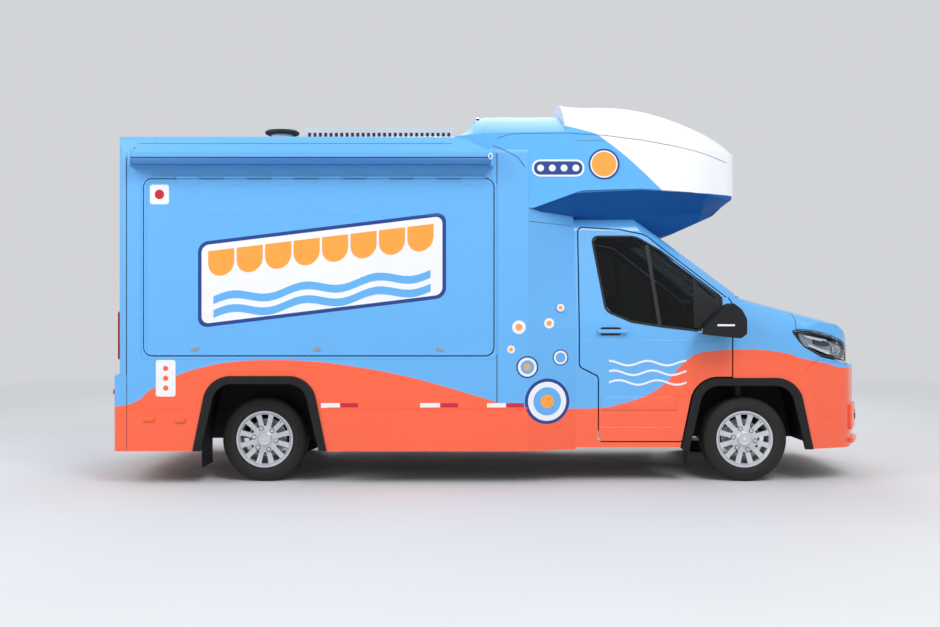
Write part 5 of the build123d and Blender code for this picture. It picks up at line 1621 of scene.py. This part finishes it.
    def wipers(self) -> Piece:
        """Two wiper arms with their blades on the windscreen."""
        parts = []
        for start, end, pivot in self.wiper_places:
            blade = [Bench.on_skin("windscreen", FRONT, start + (end - start) * step / 8,
                                   1.545 + 0.02 * step / 8, 0.008) for step in range(9)]
            arm = [Bench.on_skin("windscreen", FRONT, (start + end) / 2, 1.557, 0.018),
                   Bench.on_skin("windscreen", FRONT, pivot, 1.520, 0.014)]
            parts += [Bench.bar(blade, 0.005), Bench.bar(arm, 0.006),
                      Bench.drum(arm[1], (1, 0, 1), 0.013, 0.03, 20, 0.002)]
        return Bench.join(parts)

    def build(self) -> None:
        """Dress the nose."""
        for name, piece, finish in self.lamp_pieces():
            Bench.pair(piece, name, finish)
        self.plate()
        self.screens()
        Bench.fit(self.bumper(), "bumper_blocks", BODY_PAINT)
        Bench.fit(self.fog_lamps(), "fog_lamps", GLOSS_BLACK)
        Bench.fit(self.wipers(), "wipers", BLACK_TRIM)


@dataclass
class MirrorDressing:
    """Sail panels, mirror glass and repeaters of the cab doors."""

    sail: Line = ((1.600, 1.204), (1.806, 1.180), (1.806, 1.440), (1.600, 1.596))
    # Ends of the white strip on the mirror housing that paints its highlight
    mirror_highlight: Reach = (1.720, 1.220, 1.850, 1.234)
    glass: Reach = (-1.270, 1.165, -1.105, 1.200)
    glass_x: Point2 = (1.6105, 1.6085)

    def build(self) -> None:
        """Dress the right mirror and copy the pieces to the left one."""
        sail = Bench.patch("cab_door_window_right", RIGHT, self.sail, (6, 6), 0.0005, 0.004)
        # Painted highlight: a thin white strip along the mirror housing
        mirror_highlight = Bench.patch("side_mirror_right", RIGHT, oblong(*self.mirror_highlight), (8, 2), -0.001, 0.0012)
        glass = Bench.plate(REAR, oblong(*self.glass), -self.glass_x[0], -self.glass_x[1], 0.008)
        Bench.pair(sail, "mirror_sail", BLACK_TRIM, "door_right")
        Bench.pair(mirror_highlight, "mirror_highlight", WHITE_FILM, "door_right")
        Bench.pair(glass, "mirror_glass", CHROME, "door_right")


@dataclass
class DoorCards:
    """Trim panels, armrests, handles and speaker rings inside the cab doors."""

    node: str = "cab_door_right"
    upper: Line = ((0.770, 0.935), (1.800, 0.935), (1.800, 1.130), (0.770, 1.200))
    lower: Line = ((0.900, 0.420), (1.420, 0.420), (1.500, 0.925), (0.900, 0.925))
    speaker_place: Point2 = (1.250, 0.640)
    speaker: Line = ((0.004, 0.0), (0.004, 0.080), (0.012, 0.078), (0.013, 0.066), (0.008, 0.062),
                                   (0.010, 0.0))

    def build(self) -> None:
        """Trim the right door and copy the pieces to the left one."""
        parts = [Bench.patch(self.node, LEFT, self.upper, (16, 5), -0.002, 0.006),
                 Bench.patch(self.node, LEFT, self.lower, (10, 8), -0.002, 0.006)]
        skin_y = Bench.on_skin(self.node, LEFT, 1.180, 1.010).y
        parts.append(Bench.box((1.020, skin_y - 0.002, 0.975), (1.400, skin_y + 0.052, 1.030), 0.014, 3))
        foot_y = skin_y + 0.004
        pull = Bench.pull((1.480, foot_y, 1.070), (1.600, foot_y, 1.076), (0, 0.030, 0), 0.006)
        spot = Bench.on_skin(self.node, LEFT, *self.speaker_place)
        ring = Bench.turned(self.speaker, spot, (0, 1, 0), 40)
        Bench.pair(Bench.join(parts), "door_card", CABIN_PLASTIC, "door_right")
        Bench.pair(pull, "door_pull", CHROME, "door_right")
        Bench.pair(ring, "door_speaker", BLACK_TRIM, "door_right")


@dataclass
class RearDressing:
    """Door handle, seals, plate, lamps and reflectors of the rear."""

    face: float = 2.835
    window: tuple[Corner, ...] = ((-0.246, 1.434, 0.060), (0.246, 1.434, 0.060), (0.246, 2.066, 0.060),
                                  (-0.246, 2.066, 0.060))
    # Name, outline, root, proud, corner radius, rounding, finish and body
    plates: tuple[tuple[str, list[Point2], float, float, float, float, Finish, str], ...] = (
        ("plate_rear", oblong(-0.260, 0.870, 0.260, 0.980), -0.001, 0.004, 0.008, 0.0, BLANK_PLATE,
         "back_door"),
        ("plate_lamp", oblong(-0.100, 0.995, 0.100, 1.015), -0.001, 0.018, 0.004, 0.003, BLACK_TRIM,
         "back_door"),
        ("third_brake_lamp", oblong(-0.180, 2.435, 0.180, 2.460), -0.001, 0.014, 0.008, 0.003, TAIL_RED,
         "vehicle"),
    )
    lamp_y: float = 1.045
    rib_count: int = 7
    rib_low: float = 0.990
    rib_pitch: float = 0.052
    reflector_y: float = 0.960

    def raised(self, outline: Outline, root: float, proud: float, radius: float,
               rounding: float = 0.0) -> Piece:
        """Rounded plate on the rear wall, between two distances out of it."""
        return Bench.plate(REAR, outline, self.face + root, self.face + proud, radius, rounding)

    def lamp_parts(self, half: float, low: float, high: float, root: float, proud: float,
                   radius: float = 0.0) -> list[Piece]:
        """One plate across the middle of each tail lamp."""
        return [self.raised(oblong(middle - half, low, middle + half, high), root, proud, radius)
                for middle in (-self.lamp_y, self.lamp_y)]

    def build(self) -> None:
        """Dress the rear."""
        seal = Bench.seam("rear_door", REAR, rounded(self.window), 0.010, closed=True)
        Bench.fit(seal, "rear_window_seal", SEAL_RUBBER, "back_door")
        handle = [self.raised(oblong(-0.345, 1.080, -0.285, 1.240), -0.002, 0.006, 0.020, 0.002),
                  self.raised(oblong(-0.330, 1.110, -0.300, 1.200), 0.004, 0.030, 0.012, 0.006)]
        Bench.fit(Bench.join(handle), "rear_handle", BLACK_TRIM, "back_door")
        lock = Bench.drum((-self.face - 0.010, -0.315, 1.225), (1, 0, 0), 0.009, 0.010, 24, 0.001)
        Bench.fit(lock, "rear_lock", CHROME, "back_door")
        for name, outline, root, proud, radius, rounding, finish, body in self.plates:
            Bench.fit(self.raised(outline, root, proud, radius, rounding), name, finish, body)
        heights = [self.rib_low + self.rib_pitch * index for index in range(self.rib_count)]
        ribs = [rib for up in heights for rib in self.lamp_parts(0.046, up, up + 0.006, 0.011, 0.014)]
        Bench.fit(Bench.join(ribs), "tail_lamp_ribs", TAIL_RED)
        indicators = self.lamp_parts(0.044, 1.240, 1.290, 0.010, 0.0145, 0.010)
        Bench.fit(Bench.join(indicators), "rear_indicators", AMBER_LENS)
        reflectors = [self.raised(oblong(middle - 0.09, 0.690, middle + 0.09, 0.726), 0.055, 0.066, 0.006)
                      for middle in (-self.reflector_y, self.reflector_y)]
        Bench.fit(Bench.join(reflectors), "rear_reflectors", RED_TAPE)


@dataclass
class RoofDressing:
    """Vent hood, unit grille, antenna and the dark lip before the pod."""

    # Height and distance from the axis
    hood: Line = ((2.786, 0.0), (2.786, 0.118), (2.796, 0.138), (2.812, 0.140), (2.824, 0.118),
                                (2.829, 0.060), (2.831, 0.0))
    hood_axis: Corner = (-1.690, -0.500, 0)
    slot_count: int = 27
    slot_start: float = -1.500
    slot_pitch: float = 0.045
    slot_width: float = 0.025
    mast_foot: Line = ((-0.004, 0.0), (-0.004, 0.040), (0.006, 0.038), (0.022, 0.014), (0.024, 0.0))
    mast_place: Point2 = (-2.30, 0.60)

    def build(self) -> None:
        """Dress the roof."""
        Bench.fit(Bench.turned(self.hood, self.hood_axis, (0, 0, 1), 48), "vent_hood", SEAL_RUBBER)
        starts = [self.slot_start + self.slot_pitch * index for index in range(self.slot_count)]
        slots = [Bench.box((start, -0.353, 2.775), (start + self.slot_width, -0.347, 2.835), 0.002)
                 for start in starts]
        Bench.fit(Bench.join(slots), "roof_unit_slots", SEAL_RUBBER)
        lip = [Bench.on_skin("over_cab_pod", TOP, -0.075, -0.62 + 0.06 * step, 0.004) for step in range(10)]
        Bench.fit(Bench.bar(lip, 0.014), "pod_lip", GLOSS_BLACK)
        foot = Bench.on_skin("kitchen_roof", TOP, *self.mast_place)
        mast = [Bench.turned(self.mast_foot, foot, (0, 0, 1), 32),
                Bench.bar([foot + Vector((0, 0, 0.02)), foot + Vector((-0.09, 0, 0.19))], 0.003)]
        Bench.fit(Bench.join(mast), "antenna", BLACK_TRIM)


@dataclass
class KitchenDressing:
    """Handles, knobs and the frame of the kitchen's side window."""

    front_y: float = 0.5147
    cooler_y: float = 0.4947
    handle_places: tuple[float, ...] = (-2.05, -1.55, -1.05, -0.55)
    handle_half: float = 0.12
    knob_count: int = 8
    knob_start: float = -2.0
    knob_pitch: float = 0.14
    window: tuple[Corner, ...] = ((-1.516, 1.234, 0.070), (-0.584, 1.234, 0.070), (-0.584, 1.816, 0.070),
                                  (-1.516, 1.816, 0.070))
    window_bar: Reach = (-1.065, 1.256, -1.035, 1.794)

    def build(self) -> None:
        """Dress the kitchen."""
        foot_y = self.front_y - 0.001
        handles = [Bench.pull((x - self.handle_half, foot_y, 0.80), (x + self.handle_half, foot_y, 0.80),
                              (0, -0.029, 0), 0.006) for x in self.handle_places]
        foot_y = self.cooler_y - 0.001
        handles.append(Bench.pull((0.20, foot_y, 1.0), (0.20, foot_y, 1.6), (0, -0.034, 0), 0.008))
        Bench.fit(Bench.join(handles), "kitchen_handles", CHROME)
        knobs = [Bench.drum((self.knob_start + self.knob_pitch * index, self.front_y - 0.012, 1.30), (0, 1, 0),
                            0.020, 0.026, 24, 0.004) for index in range(self.knob_count)]
        Bench.fit(Bench.join(knobs), "cooker_knobs", BLACK_TRIM)
        seal = Bench.seam("kitchen_left_wall", LEFT, rounded(self.window), 0.011, closed=True)
        Bench.fit(seal, "side_window_seal", SEAL_RUBBER)
        bar = Bench.plate(LEFT, oblong(*self.window_bar), 1.1345, 1.1445)
        Bench.fit(bar, "side_window_bar", BLACK_TRIM)


@dataclass(frozen=True)
class Cushion:
    """A stuffed block of a seat, with a crowned face and sewn channels."""

    name: str
    rear_x: float
    front_x: float
    half_width: float
    foot_z: float
    top_z: float
    soft_edge: float
    crown: float
    # Sideways places of the sewn channels, from the block's middle
    channels: tuple[float, ...] = ()
    # Angle by which it leans back about its lower rear edge, in degrees
    lean: float = 0.0
    channel_depth: float = 0.007
    channel_half: float = 0.008
    cuts: int = 34

    def build(self, middle_y: float) -> Piece:
        """Shape the block.

        Args:
            middle_y: sideways place of its middle.

        Returns:
            The cushion.
        """
        piece = Bench.primitive(bpy.ops.mesh.primitive_cube_add, size=2.0)
        with Bench.opened(piece):
            bpy.ops.mesh.subdivide(number_cuts=self.cuts)
        low = Vector((self.rear_x, middle_y - self.half_width, self.foot_z))
        high = Vector((self.front_x, middle_y + self.half_width, self.top_z))
        middle, half = (low + high) / 2, (high - low) / 2
        turn = Matrix.Rotation(-math.radians(self.lean), 3, "Y")
        foot = Vector((low[0], middle.y, low[2]))
        edge = self.soft_edge
        for vertex in piece.data.vertices:
            share = vertex.co.copy()
            spot = Vector(share[i] * half[i] for i in range(3))
            core = Vector(max(-half[i] + edge, min(half[i] - edge, spot[i])) for i in range(3))
            if (spot - core).length > 0:
                spot = core + (spot - core).normalized() * edge
            press = sum(math.exp(-((spot.y - place) / self.channel_half) ** 2) for place in self.channels)
            for i in (0, 2):
                if abs(share[i]) > 0.999:
                    swell = self.crown * (1 - share[(i + 1) % 3] ** 2) * (1 - share[(i + 2) % 3] ** 2)
                    spot[i] += math.copysign(swell - self.channel_depth * press, share[i])
            vertex.co = turn @ (middle + spot - foot) + foot
        return piece


@dataclass
class Seats:
    """Upholstered cab seats in the place of the plain ones."""

    middles: tuple[tuple[str, float], ...] = (("right", -0.43), ("left", 0.43))
    cushions: tuple[Cushion, ...] = (
        Cushion("seat_cushion", 0.905, 1.392, 0.235, 0.762, 0.876, 0.045, 0.008, (-0.120, 0.120)),
        Cushion("seat_back", 0.905, 1.015, 0.225, 0.872, 1.485, 0.045, 0.008, (-0.110, 0.110), -10.5),
        Cushion("head_rest", 0.803, 0.887, 0.126, 1.505, 1.655, 0.036, 0.004),
    )
    post_half: float = 0.06
    slider_half: float = 0.13

    def build(self) -> None:
        """Make both seats."""
        for side, y in self.middles:
            shapes = [cushion.build(y) for cushion in self.cushions]
            for cushion, piece in zip(self.cushions, shapes):
                Bench.fit(piece, f"{cushion.name}_{side}", SEAT_CLOTH, "vehicle", 60)
            if side == "right":
                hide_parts("seats")
            posts = [Bench.bar([(0.830, y + across, 1.44), (0.842, y + across, 1.53)], 0.006)
                     for across in (-self.post_half, self.post_half)]
            Bench.fit(Bench.join(posts), f"head_rest_posts_{side}", CHROME)
            base = Bench.box((0.955, y - 0.195, 0.5003), (1.325, y + 0.195, 0.764), 0.012, 3)
            Bench.fit(base, f"seat_base_{side}", CABIN_PLASTIC)
            slider = Bench.pull((1.335, y - self.slider_half, 0.74), (1.335, y + self.slider_half, 0.74),
                                (0.040, 0, -0.005), 0.007)
            Bench.fit(slider, f"seat_slider_{side}", BLACK_TRIM)


@dataclass
class Studio:
    """Floor, soft lights, plain surroundings and the camera."""

    camera_place: Corner = (-0.139, -9.13, 1.315)
    focal_pixels: float = 1044.0
    picture_width: float = 940.0
    sensor: float = 36.0
    floor_half: float = 60.0
    fade: Point2 = (4.5, 16.0)
    surround: Colour = srgb(226, 228, 231)
    surround_power: float = 0.85
    # Name, place, size and power
    lamps: tuple[tuple[str, Corner, float, float], ...] = (
        ("key", (3.5, -8.0, 8.5), 6.0, 620.0), ("fill", (-7.0, -5.0, 6.0), 6.0, 320.0),
        ("back", (1.0, 8.5, 7.5), 6.0, 420.0),
    )
    aim: Corner = (0, 0, 1.2)

    def floor(self) -> None:
        """Wide pale floor under the wheels."""
        ground = Bench.settle(Bench.primitive(bpy.ops.mesh.primitive_plane_add, size=2 * self.floor_half,
                                              location=(0, 0, 0)))
        ground.name = "studio_floor"
        paint = Finish("pale_floor", srgb(214, 215, 217), "", srgb(206, 207, 210), 0.75, cloud_scale=0.6,
                       grain_scale=60.0, grain_height=0.0004)
        ground.data.materials.append(self.fading(paint))

    def fading(self, paint: Finish) -> bpy.types.Material:
        """Let the floor's paint pass into the colour of the surroundings far from the vehicle.

        Args:
            paint: the floor's finish.

        Returns:
            The floor's material.
        """
        graph = Graph(Paints.get(paint))
        nodes = {node.type: node for node in graph.tree.nodes}
        place = graph.add("TexCoord").outputs["Object"]
        away = graph.add("VectorMath", operation="LENGTH", _0=place).outputs["Value"]
        share = graph.add("MapRange", interpolation_type="SMOOTHSTEP", Value=away, From_Min=self.fade[0],
                          From_Max=self.fade[1])
        glow = graph.add("Emission", Color=(*self.surround, 1.0), Strength=self.surround_power)
        blend = graph.add("MixShader", _0=share.outputs[0], _1=nodes["BSDF_PRINCIPLED"].outputs[0],
                          _2=glow.outputs[0])
        graph.put(nodes["OUTPUT_MATERIAL"], 0, blend.outputs[0])
        return graph.material

    @staticmethod
    def hang(name: str, data: bpy.types.ID, place: Corner) -> bpy.types.Object:
        """Put a lamp or camera in the scene at a place."""
        holder = bpy.data.objects.new(name, data)
        bpy.context.scene.collection.objects.link(holder)
        holder.location = place
        return holder

    def light(self) -> None:
        """Large soft lamps aimed at the vehicle's middle."""
        for name, place, size, power in self.lamps:
            lamp = bpy.data.lights.new(name, "AREA")
            lamp.shape, lamp.size, lamp.energy = "DISK", size, power
            way = Vector(self.aim) - Vector(place)
            self.hang(name, lamp, place).rotation_euler = way.to_track_quat("-Z", "Y").to_euler()

    def sky(self) -> None:
        """Plain pale light from all round."""
        world = bpy.data.worlds.new("studio")
        bpy.context.scene.world = world
        world.use_nodes = True
        ground = world.node_tree.nodes["Background"]
        ground.inputs["Color"].default_value = (*self.surround, 1.0)
        ground.inputs["Strength"].default_value = self.surround_power

    def camera(self) -> None:
        """Level camera square to the right side."""
        lens = bpy.data.cameras.new("camera")
        lens.sensor_width = self.sensor
        lens.lens = self.sensor * self.focal_pixels / self.picture_width
        holder = self.hang("camera", lens, self.camera_place)
        holder.rotation_euler = (math.radians(90), 0, 0)
        bpy.context.scene.camera = holder

    def build(self) -> None:
        """Set the studio up."""
        self.floor()
        self.sky()
        self.light()
        self.camera()
        bpy.context.scene.view_settings.view_transform = "Standard"


def main() -> None:
    """Build the studio, paint the packed parts and dress them."""
    logging.basicConfig(level=logging.INFO, format="%(message)s")
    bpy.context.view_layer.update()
    Studio().build()
    Paints.dress_nodes()
    for group in (Wheels(), HatchDressing(), SideDressing(), PodDressing(), AwningDressing(),
                  CabDoorDressing(), SeamDressing(), FrontDressing(), MirrorDressing(), DoorCards(),
                  RearDressing(), RoofDressing(), KitchenDressing(), Seats()):
        log.info("%s", type(group).__doc__)
        group.build()


if __name__ == "__main__":
    main()
